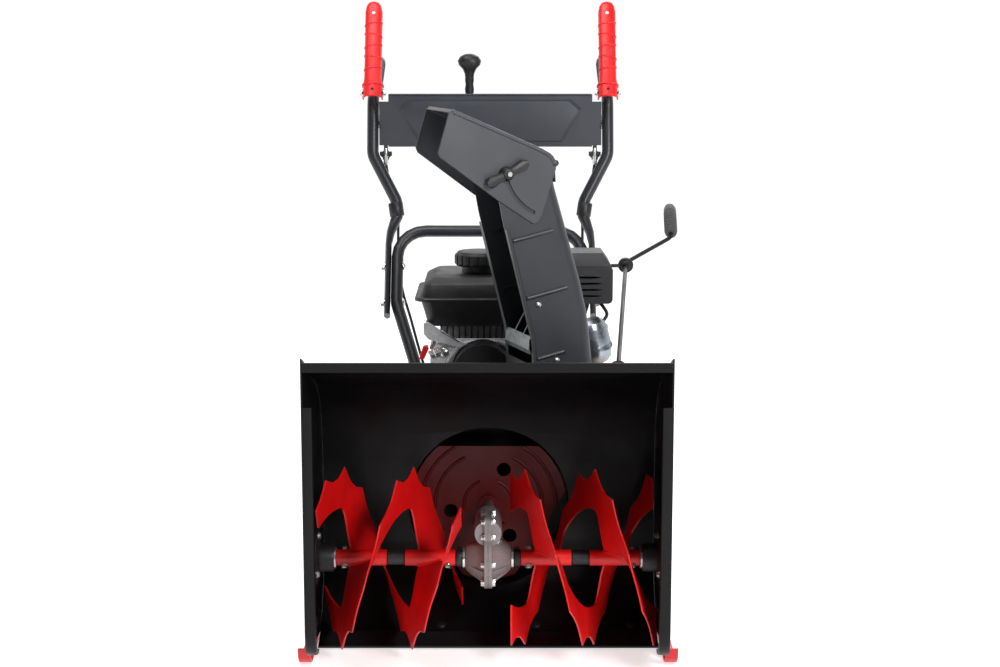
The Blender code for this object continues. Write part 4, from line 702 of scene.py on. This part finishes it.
def make_chute_details():
    flanges = bmesh.new()
    heights = [0.476 + (0.752 - 0.476) * share for share in shares(14)]
    wall, fold = CHUTE_HALF - 0.0004, CHUTE_HALF + 0.0108
    for side in (-1, 1):
        rows = []
        for z in heights:
            u = chute_front(z)
            section = ((u - 0.0026, wall), (u, wall), (u + 0.0006, fold), (u - 0.002, fold))
            rows.append([chute(along, side * w, z) for along, w in section])
        loft(flanges, rows)
    piece("chute_flanges", flanges, "chute_paint", "chute", bevel=0.0008)

    ribs = bmesh.new()
    for side in (-1, 1):
        for height, reach in ((0.5115, 0.052), (0.624, 0.078), (0.73, 0.076)):
            start = chute_front(height) - 0.0105
            path = [chute(start - reach * share, side * (CHUTE_HALF - 0.0008), height + 0.22 * reach * share)
                    for share in shares(8)]
            tube(ribs, path, 0.0044, 14)
        seam = [chute(chute_front(z) - 0.0092, side * (CHUTE_HALF - 0.0006), z) for z in heights]
        tube(ribs, seam, 0.0012, 8)
    piece("chute_ribs", ribs, "chute_paint", "chute", sharp=60)

    bolts, pins = bmesh.new(), bmesh.new()
    for side in (-1, 1):
        for u, z in ((0.052, 0.612), (0.016, 0.508)):
            dome_bolt(bolts, chute(u, side * CHUTE_HALF, z), NEAR * side, 0.0055, 0.0034)
        dome_bolt(pins, chute(HINGE_U, side * DEFLECTOR_HALF, HINGE_Z), NEAR * side, 0.006, 0.0022)
    piece("chute_bolts", bolts, "zinc_bolt", "chute")
    piece("chute_hinge_pins", pins, "chute_paint", "chute")

    flap = bmesh.new()
    inside = CHUTE_HALF - 0.003
    line = [(0.0184, 0.834), (0.0196, 0.852), (0.0222, 0.866), (0.0262, 0.876)]
    outline = line + [(u + 0.002, z - 0.0004) for u, z in line[::-1]]
    loft(flap, [[chute(u, w, z) for u, z in outline] for w in (-inside, inside)])
    piece("chute_hinge_flap", flap, "chute_paint", "chute", sharp=40)

    guard = bmesh.new()
    strip = [(0.064, 0.518), (0.07, 0.529), (0.069, 0.547), (0.064, 0.553), (0.0628, 0.5518),
             (0.067, 0.546), (0.068, 0.5296), (0.0622, 0.5192)]
    loft(guard, [[chute(u, w, z) for u, z in strip] for w in (-inside, inside)])
    piece("chute_guard_strip", guard, "galvanised", "chute", sharp=25, bevel=0.0006)
    bars = bmesh.new()
    for w in (-0.03, 0.014):
        line = ((0.0655, 0.538), (0.056, 0.56), (0.01, 0.642), (-0.018, 0.7))
        tube(bars, smooth_route([chute(u, w, z) for u, z in line], 8), 0.002, 12)
    piece("chute_guard_bars", bars, "steel", "chute")


def make_deflector_details():
    hem = bmesh.new()
    corners = [(0.0218, 0.866), (0.0218, 0.858), (0.0478, 0.7768), (0.0545, 0.765), (0.064, 0.7614),
               (0.132, 0.8066), (0.2378, 0.8846), (0.2411, 0.8922), (0.2208, 0.9612), (0.2148, 0.9655),
               (0.0444, 0.8918)]
    for side in (-1, 1):
        w = side * (DEFLECTOR_HALF - 0.0017)
        path = []
        for (u0, z0), (u1, z1) in zip(corners, corners[1:]):
            path += [chute(u0 + (u1 - u0) * i / 6, w, z0 + (z1 - z0) * i / 6) for i in range(6)]
        u, z = corners[-1]
        tube(hem, path + [chute(u, w, z)], 0.0018, 8)
        for radius in (KNOB_REACH - 0.0052, KNOB_REACH + 0.0052):
            points = circle((HINGE_U, HINGE_Z), radius, 20, -14, -65.7)
            tube(hem, [chute(u, side * (DEFLECTOR_HALF - 0.001), z) for u, z in points], 0.0012, 8)
    lip = [chute(0.218, DEFLECTOR_HALF * (2 * share - 1), 0.9628) for share in shares(12)]
    tube(hem, lip, 0.0016, 10)
    for side in (-1, 1):
        edge = [(0.213, 0.9618), (0.13, 0.9262), (0.046, 0.8895), (0.029, 0.878), (0.0235, 0.868)]
        fold = [chute(u, side * (DEFLECTOR_HALF - 0.0022), z) for u, z in edge]
        tube(hem, smooth_route(fold, 6), 0.0042, 14)
    # The hem takes the deflector's lighter copy of the chute paint, painted light.
    piece("deflector_hem", hem, "deflector_paint", "deflector", sharp=60)

    ribs = bmesh.new()
    start, end = Vector((0.064, 0.9018)), Vector((0.198, 0.9598))
    for w in (-0.034, 0.0, 0.034):
        line = [start.lerp(end, share) for share in shares(10)]
        tube(ribs, [chute(spot.x, w, spot.y) for spot in line], 0.0026, 10)
    piece("deflector_ribs", ribs, "chute_paint", "deflector", sharp=60)

    washer = bmesh.new()
    u, z = on_circle((HINGE_U, HINGE_Z), KNOB_REACH, -9.4)
    lathe(washer, [(0, -0.0006), (0.0036, -0.0006), (0.0046, 0.0006), (0.0046, 0.004), (0, 0.004)],
          chute(u, DEFLECTOR_HALF + 0.0192, z), NEAR, 6)
    piece("knob_nut", washer, "zinc_bolt", "deflector_knob_body")


# ---------------------------------------------------------------- engine
def make_cylinder_details():
    """Cooling fins of the leaning cylinder and of the deck under the tank, and the front casting."""
    start = at(*CYLINDER_START)
    fins = bmesh.new()
    outline = [(-0.06, -0.05), (-0.052, -0.058), (0.052, -0.058), (0.06, -0.05), (0.06, 0.05),
               (0.052, 0.058), (-0.052, 0.058), (-0.06, 0.05)]
    for number in range(9):
        along = 0.058 + 0.01 * number
        loft(fins, [[start + HEADING * d + Y * a + RISE * b for a, b in outline]
                    for d in (along, along + 0.0022)])
    piece("cylinder_fins", fins, "engine_casting", bevel=0.0005)

    deck = bmesh.new()
    block(deck, (-0.1, 0.558, 0.496), (0.08, 0.69, 0.5))
    for i in range(15):
        x = -0.096 + 0.012 * i
        block(deck, (x, 0.554, 0.498), (x + 0.0028, 0.696, 0.5325))
    piece("deck_fins", deck, "dark_casting", bevel=0.0005)

    casting = bmesh.new()
    outer = [(-0.113, 0.36), (-0.113, 0.452), *circle((-0.087, 0.48), 0.026, 6, 170, 100),
             (-0.06, 0.512), (0.025, 0.512), *circle((0.027, 0.479), 0.033, 6, 80, 10), (0.061, 0.36)]
    prism(casting, outer, "Y", 0.525, 0.5317)
    ridge = ((-0.098, 0.37), (-0.09, 0.43), (-0.078, 0.472), (-0.056, 0.498), (-0.03, 0.5065),
             (0.015, 0.5065), (0.038, 0.496), (0.052, 0.472))
    tube(casting, smooth_route([at(x, 0.524, z) for x, z in ridge], 6), 0.0042, 12)
    low_ridge = ((-0.086, 0.362), (-0.078, 0.415), (-0.07, 0.445))
    tube(casting, smooth_route([at(x, 0.5245, z) for x, z in low_ridge], 6), 0.003, 10)
    piece("front_casting", casting, "engine_casting", bevel=0.001)

    gasket = bmesh.new()
    centre, radius = (CRANKSHAFT_X + 0.003, 0.451), 0.059
    rim = [(centre[0] - radius, 0.32), *circle(centre, radius, 24, 180, 0), (centre[0] + radius, 0.32)]
    tube(gasket, [at(x, 0.5215, z) for x, z in rim], 0.002, 8)
    piece("belt_cover_seal", gasket, "rubber")

    bolts = bmesh.new()
    dome_bolt(bolts, at(-0.087, 0.5255, 0.486), -Y, 0.012, 0.0095)
    for x, z in ((0.017, 0.503), (-0.105, 0.456), (0.054, 0.456)):
        hex_bolt(bolts, at(x, 0.524, z), -Y, 0.0046, 0.005)
    for x, y in itertools.product((-0.085, 0.045), (0.56, 0.675)):
        hex_bolt(bolts, at(x, y, 0.33), Z, 0.0065)
    for a, b in ((-0.032, -0.029), (0.032, -0.029), (0.032, 0.029), (-0.032, 0.029)):
        hex_bolt(bolts, start + HEADING * 0.177 + Y * a + RISE * b, HEADING, 0.0045, 0.004)
    piece("engine_bolts", bolts, "zinc_bolt")


def make_fuel_fittings():
    bracket = bmesh.new()
    outline = [(-0.127, 0.544), (-0.127, 0.523), (-0.118, 0.512), (-0.056, 0.496), (-0.042, 0.503),
               (-0.07, 0.516), (-0.118, 0.546)]
    prism(bracket, outline, "Y", 0.514, 0.5165)
    block(bracket, (-0.124, 0.515, 0.522), (-0.1215, 0.57, 0.542))
    piece("tank_bracket", bracket, "sheet_steel", bevel=0.0006)
    # A thin near-black sheet on the bracket's face paints the shade of its slit.
    slot = bmesh.new()
    slit = [(-0.096, 0.5285), (-0.09, 0.527), (-0.056, 0.508), (-0.06, 0.508)]
    prism(slot, slit, "Y", 0.5132, 0.5146)
    piece("tank_bracket_slot", slot, "dark_recess")

    valve = bmesh.new()
    lathe(valve, [(0, 0), (0.0105, 0), (0.0105, 0.011), (0.008, 0.013), (0.008, 0.022), (0, 0.022)],
          at(-0.096, 0.525, 0.488), Vector((-0.86, -0.2, -0.34)), 6)
    disc(valve, 0.0055, 0, 0.018, at(-0.108, 0.54, 0.506), Vector((-0.2, 0, -1)), 16)
    piece("fuel_valve", valve, "zinc_bolt")
    tap = bmesh.new()
    outline = [(-0.137, 0.47), (-0.127, 0.47), (-0.118, 0.49), (-0.12, 0.498), (-0.129, 0.496)]
    prism(tap, outline, "Y", 0.528, 0.542)
    piece("fuel_valve_lever", tap, "amber_plastic", bevel=0.002)


def make_engine_fittings():
    hose = bmesh.new()
    fuel_line = ((0.21, 0.54, 0.586), (0.221, 0.533, 0.574), (0.2285, 0.526, 0.56),
                 (0.22, 0.518, 0.548), (0.208, 0.516, 0.544))
    plug_lead = ((0.184, 0.64, 0.442), (0.19, 0.665, 0.46), (0.15, 0.695, 0.5),
                 (0.095, 0.71, 0.49), (0.08, 0.715, 0.47))
    for route in (fuel_line, plug_lead):
        tube(hose, smooth_route([at(*spot) for spot in route], 6), 0.0034, 10)
    piece("engine_hoses", hose, "rubber")
    boot = bmesh.new()
    lathe(boot, [(0, 0), (0.008, 0), (0.0085, 0.012), (0.006, 0.02), (0, 0.02)], at(0.178, 0.64, 0.4405),
          HEADING, 16)
    piece("plug_boot", boot, "rubber")

    filler = bmesh.new()
    lathe(filler, [(0, 0), (0.015, 0), (0.015, 0.014), (0.019, 0.016), (0.019, 0.024), (0, 0.026)],
          at(-0.115, 0.62, 0.36), Vector((-0.7, 0, 0.7)), 20)
    piece("oil_filler", filler, "black_plastic")

    bands = bmesh.new()
    axis = Vector((-0.26, 0, 1)).normalized()
    for z in (0.496, 0.53):
        spot = at(0.201, 0.515, 0.513) + axis * ((z - 0.513) / axis.z)
        collar(bands, 0.0325, 0.0345, -0.003, 0.003, spot, axis, 36)
    piece("silencer_bands", bands, "silencer_skin")


def rounded_outline(centre, half_x, half_y, radius, steps=6):
    points = []
    for quarter, (sx, sy) in enumerate(((1, 1), (-1, 1), (-1, -1), (1, -1))):
        corner = (centre[0] + sx * (half_x - radius), centre[1] + sy * (half_y - radius))
        points += circle(corner, radius, steps, 90 * quarter, 90 * quarter + 90)
    return points


def make_tank_details():
    """Blow moulded tank with a pinched flange, in place of the softer CAD tank, and the cap's flutes."""
    levels = ((0.5344, 0.11, 0.096, 0.016), (0.54, 0.113, 0.099, 0.02), (0.562, 0.1185, 0.106, 0.022),
              (0.585, 0.125, 0.113, 0.022), (0.5856, 0.1362, 0.1232, 0.026), (0.5884, 0.1366, 0.1236, 0.026),
              (0.59, 0.1366, 0.1236, 0.026), (0.5922, 0.135, 0.122, 0.025), (0.5932, 0.1262, 0.115, 0.024),
              (0.599, 0.1245, 0.1135, 0.024), (0.616, 0.119, 0.108, 0.023), (0.6195, 0.116, 0.105, 0.022),
              (0.628, 0.101, 0.09, 0.02), (0.6298, 0.097, 0.086, 0.018))
    body = bmesh.new()
    loft(body, [[at(x, y, z) for x, y in rounded_outline(TANK_CENTRE, half_x, half_y, radius)]
                for z, half_x, half_y, radius in levels])
    cap = at(*CAP_CENTRE, 0)
    lathe(body, [(0.03, 0.629), (0.037, 0.629), (0.0345, 0.631), (0.0338, 0.6478), (0.03, 0.6478)],
          cap, Z, 40)
    tank = piece("fuel_tank_skin", body, "black_plastic", sharp=24)
    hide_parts("fuel_tank")

    flutes = bmesh.new()
    for turn in turns(18):
        out = X * math.cos(turn) + Y * math.sin(turn)
        side = Z.cross(out)
        rings = []
        for z, depth, wide in ((0.6462, 0.0458, 0.003), (0.648, 0.0488, 0.0046), (0.664, 0.0488, 0.0046),
                               (0.668, 0.0462, 0.003)):
            foot, tip = cap + out * 0.044 + Z * z, cap + out * depth + Z * z
            rings.append([foot - side * (wide + 0.0016), foot + side * (wide + 0.0016), tip + side * wide,
                          tip - side * wide])
        loft(flutes, rings)
    piece("cap_flutes", flutes, "black_plastic", "fuel_cap_body", bevel=0.0012)


def make_hood_details():
    frames = bmesh.new()
    for row in range(4):
        middle = at(0.19, 0.4998, 0.635 - 0.012 * row)
        slot = [middle + X * 0.0262 * math.cos(t) + Z * 0.0029 * math.sin(t) for t in turns(40)]
        tube(frames, slot, 0.0006, 6, closed=True)
    piece("hood_slot_frames", frames, "hood_plastic", sharp=60)
    # A near-black sheet behind the openings paints the shade inside the hood.
    inner = bmesh.new()
    block(inner, (0.15, 0.52, 0.59), (0.228, 0.522, 0.65))
    piece("hood_baffle", inner, "dark_recess")


def make_recoil_details():
    centre = at(CRANKSHAFT_X, 0, CRANKSHAFT_Z)
    louvres = bmesh.new()
    for turn in turns(30):
        out = X * math.cos(turn) + Z * math.sin(turn)
        side = out.cross(Y)
        rings = []
        for radius, y in ((0.05, 0.79), (0.062, 0.7895), (0.09, 0.7815), (0.094, 0.7805)):
            low, high = centre + out * radius + Y * (y - 0.003), centre + out * radius + Y * (y + 0.003)
            rings.append([low - side * 0.0018, low + side * 0.0018,
                          high + side * 0.0012, high - side * 0.0012])
        loft(louvres, rings)
    piece("recoil_louvres", louvres, "black_plastic")
    boss = bmesh.new()
    lathe(boss, [(0, 0.79), (0.04, 0.79), (0.04, 0.7935), (0.036, 0.795), (0.012, 0.795),
                 (0.0105, 0.793), (0, 0.793)], centre, Y, 40)
    piece("recoil_boss", boss, "engine_casting")
    bolts = bmesh.new()
    for degrees in (45, 135, 225, 315):
        x, z = on_circle((CRANKSHAFT_X, CRANKSHAFT_Z), 0.0985, degrees)
        hex_bolt(bolts, at(x, 0.7792, z), Y, 0.0042, 0.0036)
    piece("recoil_bolts", bolts, "zinc_bolt")

    rope_x, rope_z = -0.062, 0.47
    eyelet = bmesh.new()
    lathe(eyelet, [(0.0032, 0.7855), (0.01, 0.7855), (0.01, 0.7905), (0.006, 0.7935), (0.0032, 0.7925)],
          at(rope_x, 0, rope_z), Y, 24)
    piece("recoil_eyelet", eyelet, "steel")
    rope = bmesh.new()
    start, end = at(rope_x, 0.7865, rope_z), at(rope_x, 0.801, rope_z)
    tube(rope, [start.lerp(end, share) for share in shares(12)], 0.0022, 10)
    cord = piece("recoil_rope", rope, "black_plastic", None)
    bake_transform(cord)


# ---------------------------------------------------------------- tractor and wheels
def make_tractor_details():
    bolts = bmesh.new()
    for side in (-1, 1):
        for y in (0.46, 0.56, 0.8, 0.88):
            hex_bolt(bolts, at(side * 0.14, y, 0.29), X * side, 0.006)
        for y, z in ((0.712, 0.262), (0.685, 0.215)):
            hex_bolt(bolts, at(side * 0.1663, y, z), X * side, 0.0065)
    for x, z in itertools.product((-0.11, 0.11), (0.12, 0.285)):
        hex_bolt(bolts, at(x, 0.9, z), Y, 0.0055)
    piece("tractor_bolts", bolts, "zinc_bolt")

    cover = bmesh.new()
    block(cover, (-0.139, 0.44, 0.0845), (0.139, 0.899, 0.0868))
    piece("bottom_cover", cover, "housing_paint", bevel=0.0008)

    hubs = bmesh.new()
    for side in (-1, 1):
        lathe(hubs, [(0.0098, 0.1405), (0.024, 0.1405), (0.024, 0.144), (0.018, 0.148), (0.0098, 0.148)],
              AXLE_CENTRE, X * side, 28)
        for degrees in (30, 150, 270):
            y, z = on_circle((AXLE_Y, AXLE_Z), 0.0205, degrees)
            hex_bolt(hubs, at(side * 0.144, y, z), X * side, 0.0028, 0.0024, washer=False)
    piece("axle_bearing_plates", hubs, "zinc_bolt")


def add_tread_lug(bm, side, turn, hand):
    """One lug of the tread, from the tyre's middle to the shoulder that hand points to."""
    rows = []
    for share in shares(4):
        out = radial(turn + hand * 0.16 * share)
        along = X.cross(out) * (0.0085 + 0.002 * share)
        place = AXLE_CENTRE + X * side * (TYRE_MIDDLE + hand * (0.005 + 0.042 * share))
        top, foot = out * (TYRE_R - 0.0005 - 0.0085 * share ** 3), out * (0.156 - 0.011 * share ** 3)
        rows.append([place + foot - along, place + top - along * 0.72, place + top + along * 0.72,
                     place + foot + along])
    loft(bm, rows)


def make_wheel_details():
    """Tyres with their tread, in place of the CAD's plain ones, and the fittings of each wheel."""
    profile = [(0.08, 0.181), (0.088, 0.1785), (0.096, 0.177), (0.108, 0.1748), (0.122, 0.173),
               (0.135, 0.172), (0.145, 0.1735), (0.152, 0.179), (0.1555, 0.188), (0.157, 0.205),
               (0.1575, 0.221), (0.157, 0.237), (0.1555, 0.254), (0.152, 0.263), (0.145, 0.2685),
               (0.135, 0.27), (0.122, 0.269), (0.108, 0.2672), (0.096, 0.265), (0.088, 0.2635),
               (0.08, 0.261), (0.0784, 0.256), (0.0719, 0.2485), (0.0719, 0.1935), (0.0784, 0.186)]
    lugs = 22
    for side, word in SIDES:
        axis = X * side
        carcass = bmesh.new()
        lathe(carcass, profile, AXLE_CENTRE, axis, 96)
        for i, hand in itertools.product(range(lugs), (-1, 1)):
            add_tread_lug(carcass, side, 2 * math.pi * (i + (0.5 if hand > 0 else 0.0)) / lugs, hand)
        tyre = piece("tyre_tread_" + word, carcass, "tyre", "wheel_set", sharp=30)
        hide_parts("tyre_" + word)

        ribs = bmesh.new()
        for radius in (0.112, 0.118):
            ring = [AXLE_CENTRE + axis * 0.2672 + radial(t) * radius for t in turns(72)]
            tube(ribs, ring, 0.0012, 6, closed=True)
        piece("tyre_rings_" + word, ribs, "tyre", "wheel_set")

        hub = bmesh.new()
        lathe(hub, [(0, 0.24), (0.023, 0.24), (0.023, 0.244), (0.015, 0.247), (0.015, 0.252),
                    (0, 0.252)], AXLE_CENTRE, axis, 32)
        hex_bolt(hub, AXLE_CENTRE + axis * 0.252, axis, 0.01, 0.0075)
        pin = AXLE_CENTRE + axis * 0.232
        tube(hub, [pin - Z * 0.028, pin + Z * 0.028], 0.0032, 12)
        piece("wheel_hub_" + word, hub, "zinc_bolt", "wheel_set")

        # Near-black discs on the rim's face paint the shade inside its openings.
        slots = bmesh.new()
        for turn in turns(6):
            disc(slots, 0.0085, -0.0004, 0.0006, AXLE_CENTRE + radial(turn) * 0.044 + axis * 0.2162, axis, 24)
        piece("rim_slots_" + word, slots, "dark_recess", "wheel_set")

        valve = bmesh.new()
        lathe(valve, [(0, 0.212), (0.0042, 0.212), (0.0036, 0.226), (0.0044, 0.2265), (0.0044, 0.234),
                      (0, 0.235)], AXLE_CENTRE + radial(0.7) * 0.06, axis, 16)
        piece("tyre_valve_" + word, valve, "rubber", "wheel_set")


# ---------------------------------------------------------------- handlebars and controls
def lever_pivot(side):
    return at(side * LEVER_PIVOT.x, LEVER_PIVOT.y, LEVER_PIVOT.z)


def add_grip_ribs(bm, start, end, places, profile, steps):
    """Moulded rings along a grip, at these distances from its start."""
    along = (end - start).normalized()
    for place in places:
        lathe(bm, profile, start + along * place, along, steps)


def make_handle_details():
    bolts = bmesh.new()
    for side in (-1, 1):
        for z in (0.531, 0.603):
            y = 0.95 - (0.675 - z) * 0.577
            hex_bolt(bolts, at(side * 0.2248, y, z), X * side, 0.0075, 0.007)
            dome_bolt(bolts, at(side * 0.1861, y, z), -X * side, 0.009, 0.0055)
        for edge in (-1, 1):
            hex_bolt(bolts, lever_pivot(side) + X * edge * 0.0236, X * edge, 0.0058, 0.004)
    piece("handle_bolts", bolts, "zinc_bolt")

    clips = bmesh.new()
    for side in (-1, 1):
        low, high = at(side * 0.2015, 0.969, 0.706), at(side * 0.2068, 0.976, 0.744)
        lathe(clips, [(0.012, -0.015), (0.0148, -0.015), (0.0158, -0.013), (0.0158, 0.013), (0.0148, 0.015),
                      (0.012, 0.015)], low.lerp(high, 0.35), high - low, 28)
        x = side * CABLE_X
        block(clips, (x - 0.013, 0.999, 0.833), (x + 0.013, 1.0085, 0.8425))
        block(clips, (x - 0.007, 1.0, 0.825), (x + 0.007, 1.0075, 0.834))
    piece("cable_clips", clips, "black_plastic", bevel=0.001)

    for side, word in SIDES:
        ribs = bmesh.new()
        start, end = (at(side * spot.x, spot.y, spot.z) for spot in (GRIP_START, GRIP_END))
        add_grip_ribs(ribs, start, end, [0.014 + 0.0085 * i for i in range(14)],
                      [(0.015, -0.0016), (0.0168, -0.0009), (0.0168, 0.0009), (0.015, 0.0016)], 32)
        piece("grip_ribs_" + word, ribs, "grip_rubber", sharp=50)

    ribs = bmesh.new()
    elbow, end = at(0.395, 1.0, 0.656), at(0.4005, 1.105, 0.7085)
    add_grip_ribs(ribs, elbow, end, [0.024 + 0.009 * i for i in range(9)],
                  [(0.012, -0.0014), (0.0143, -0.0008), (0.0143, 0.0008), (0.012, 0.0014)], 28)
    piece("crank_grip_ribs", ribs, "grip_rubber", "crank_grip_body", sharp=50)


def lever_arch(half, foot, rise):
    """Steps over a lever's back, as pairs of width and height, and the turn of each."""
    arch = []
    for share in shares(18):
        turn = math.pi * share
        wide = half * math.copysign(abs(math.cos(turn)) ** 0.6, math.cos(turn))
        arch.append((wide, foot + rise * abs(math.sin(turn)) ** 0.6, turn))
    return arch


def make_lever_details():
    forward = radial(LEVER_ANGLE)
    outward = X.cross(forward)
    for side, word in ((-1, "auger"), (1, "drive")):
        body = word + "_lever_body"
        pivot = lever_pivot(side)
        ridges = bmesh.new()
        for number, along in enumerate((0.052, 0.078, 0.104, 0.13, 0.156)):
            skew = 0.0035 * (-1) ** number
            tube(ridges, [pivot + X * wide + forward * (along + skew * math.cos(turn)) + outward * level
                          for wide, level, turn in lever_arch(0.0186, 0.005, 0.0148)], 0.0016, 8)
        for along, grow in ((0.016, 0.0026), (-0.012, 0.0014)):
            tube(ridges, [pivot + X * wide + forward * along + outward * level
                          for wide, level, turn in lever_arch(0.021 + grow * 0.2, -0.006, 0.0248)], grow, 8)
        piece(word + "_lever_ridges", ridges, "lever_plastic", body, sharp=60)
        # A near-black disc on the lever paints the shade of a recess at its pivot.
        slot = bmesh.new()
        disc(slot, 0.003, 0, 0.001, pivot + forward * 0.002 + outward * 0.0186, outward, 16)
        piece(word + "_lever_recess", slot, "dark_recess", body)

        wire = bmesh.new()
        low, high = at(side * CABLE_X, 1.0025, 0.844), pivot - forward * 0.012 + outward * 0.004
        tube(wire, [low, low.lerp(high, 0.3), low.lerp(high, 0.7), high], 0.0009, 8)
        u, v = across(high - low)
        coils = 13
        path = []
        for share in shares(139):
            turn = 2 * math.pi * coils * share
            out = u * math.cos(turn) + v * math.sin(turn)
            path.append(low.lerp(high, 0.42 + 0.42 * share) + out * 0.0042)
        tube(wire, path, 0.0007, 6)
        spring = piece(word + "_cable_spring", wire, "black_steel", None, sharp=60)
        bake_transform(spring)

        ferrule = bmesh.new()
        lathe(ferrule, [(0, -0.03), (0.005, -0.03), (0.0056, -0.028), (0.0056, -0.011), (0.0046, -0.0102),
                        (0.0046, -0.0002), (0.003, 0.006), (0, 0.006)], low, Z, 20)
        piece(word + "_cable_ferrule", ferrule, "zinc_bolt")


def panel_face(x, z, lift=0.0):
    """A place on the panel's front sheet, which leans back."""
    return at(x, 1.0 + (z - 0.853) * 0.0531 - lift, z)


def panel_top(x, y, lift):
    """A place on the panel's top sheet, which falls towards the operator."""
    slope = (0.916 - 0.966) / (1.15 - 1.006)
    return at(x, y, 0.966 + (y - 1.006) * slope + lift)


def make_panel_details():
    raised = bmesh.new()
    outline = [(-0.156, 0.864), (0.156, 0.864), (0.198, 0.934), (0.176, 0.954), (-0.176, 0.954),
               (-0.198, 0.934)]
    middle = 0.914
    rings = []
    for share, lift in ((1.0, -0.0016), (1.0, 0.0004), (0.96, 0.006), (0.952, 0.0062)):
        rings.append([panel_face(x * share, middle + (z - middle) * (2.2 * share - 1.2), lift)
                      for x, z in outline])
    loft(raised, rings)
    piece("panel_embossing", raised, "panel_paint", sharp=12)
    edge = bmesh.new()
    tube(edge, [panel_face(-0.218 + 0.436 * share, 0.9648) for share in shares(20)], 0.0022, 10)
    piece("panel_top_roll", edge, "panel_paint", sharp=60)

    gate = bmesh.new()
    outer = rounded_outline((SHIFT_X, SHIFT_Y), 0.021, 0.06, 0.008, 4)
    inner = rounded_outline((SHIFT_X, SHIFT_Y), 0.0095, 0.0485, 0.008, 4)
    rings = [[panel_top(x, y, lift) for x, y in shape] for shape, lift in
             ((outer, 0.0002), (outer, 0.0026), (inner, 0.0026), (inner, 0.0002))]
    loft(gate, rings, closed=True)
    piece("shift_gate", gate, "black_plastic", bevel=0.0006)
    marks = bmesh.new()
    for i in range(8):
        y = SHIFT_Y - 0.042 + 0.012 * i
        corners = [(SHIFT_X + x, y + half) for x, half in
                   ((0.0122, -0.0007), (0.018, -0.0007), (0.018, 0.0007), (0.0122, 0.0007))]
        loft(marks, [[panel_top(*corner, lift) for corner in corners] for lift in (0.0022, 0.003)])
    piece("shift_gate_marks", marks, "rim_paint")
    boot = bmesh.new()
    rings = []
    for z, half_x, half_y in ((0.965, 0.0092, 0.0072), (0.975, 0.01, 0.0075), (0.985, 0.0085, 0.0062),
                              (0.993, 0.0098, 0.008), (1.0002, 0.0096, 0.0086)):
        rings.append([at(SHIFT_X + half_x * math.cos(t), SHIFT_Y + half_y * math.sin(t), z)
                      for t in turns(20)])
    loft(boot, rings)
    piece("shift_knob_neck", boot, "black_plastic", "shift", sharp=50)


# ---------------------------------------------------------------- studio
FLOOR_GLOW = 0.62
CAMERA_PLACE, CAMERA_DOWN, CAMERA_LENS, SENSOR = (0.021, -3.0, 1.112), 9.5, 66.24, 36.0
LIGHTS = (("key", (1.7, -3.1, 2.1), 1.2, 95.0), ("top", (-0.6, -1.0, 3.6), 2.0, 60.0),
          ("rear", (0.6, 3.2, 2.8), 2.4, 50.0))
LIT_POINT = Vector((0, 0, 0.5))


def make_studio():
    floor = bpy.data.meshes.new("floor")
    half = 14.0
    corners = [(-half, -half, 0), (half, -half, 0), (half, half, 0), (-half, half, 0)]
    floor.from_pydata(corners, [], [(0, 1, 2, 3)])
    ground = bpy.data.objects.new("floor", floor)
    ground.location = (0, 0, -0.0005)
    bpy.context.scene.collection.objects.link(ground)
    g = Graph("studio_floor")
    tone = g.mix(g.ramp(g.noise(1.5, 3.0), 0.3, 0.7), (0.78, 0.78, 0.785), (0.82, 0.82, 0.825))
    g.set(Emission_Color=(1.0, 1.0, 1.0, 1.0), Emission_Strength=FLOOR_GLOW)
    floor.materials.append(g.set(Base_Color=tone, Roughness=g.ramp(g.noise(6.0), 0.3, 0.7, 0.75, 0.85)))

    world = bpy.data.worlds.new("studio")
    world.use_nodes = True
    tree = world.node_tree
    direction = tree.nodes.new("ShaderNodeTexCoord").outputs["Generated"]
    parts = tree.nodes.new("ShaderNodeSeparateXYZ")
    tree.links.new(direction, parts.inputs["Vector"])
    fade = tree.nodes.new("ShaderNodeMapRange")
    tree.links.new(parts.outputs["Y"], fade.inputs["Value"])
    for socket, value in (("From Min", -0.35), ("From Max", 0.45), ("To Min", 0.06), ("To Max", 1.02)):
        fade.inputs[socket].default_value = value
    seen = tree.nodes.new("ShaderNodeLightPath").outputs["Is Camera Ray"]
    strength = tree.nodes.new("ShaderNodeMath")
    strength.operation = "MAXIMUM"
    tree.links.new(fade.outputs["Result"], strength.inputs[0])
    tree.links.new(seen, strength.inputs[1])
    background = tree.nodes["Background"]
    background.inputs["Color"].default_value = (1.0, 1.0, 1.0, 1.0)
    tree.links.new(strength.outputs["Value"], background.inputs["Strength"])
    bpy.context.scene.world = world

    for name, where, size, power in LIGHTS:
        light = bpy.data.lights.new(name, "AREA")
        light.shape = "DISK"
        light.size = size
        light.energy = power
        lamp = bpy.data.objects.new(name, light)
        lamp.location = where
        lamp.rotation_euler = (LIT_POINT - Vector(where)).to_track_quat("-Z", "Y").to_euler()
        bpy.context.scene.collection.objects.link(lamp)


def make_camera():
    data = bpy.data.cameras.new("camera")
    data.sensor_width = SENSOR
    data.lens = CAMERA_LENS
    camera = bpy.data.objects.new("camera", data)
    camera.location = at(*CAMERA_PLACE)
    camera.rotation_euler = (math.radians(90 - CAMERA_DOWN), 0, 0)
    bpy.context.scene.collection.objects.link(camera)
    bpy.context.scene.camera = camera
    bpy.context.scene.view_settings.view_transform = "Standard"


MATERIALS = make_materials()
dress_cad()
make_housing_details()
make_flights()
make_auger_details()
make_gearbox_details()
make_impeller_details()
make_chute_details()
make_deflector_details()
make_cylinder_details()
make_fuel_fittings()
make_engine_fittings()
make_tank_details()
make_hood_details()
make_recoil_details()
make_tractor_details()
make_wheel_details()
make_handle_details()
make_lever_details()
make_panel_details()
make_studio()
make_camera()
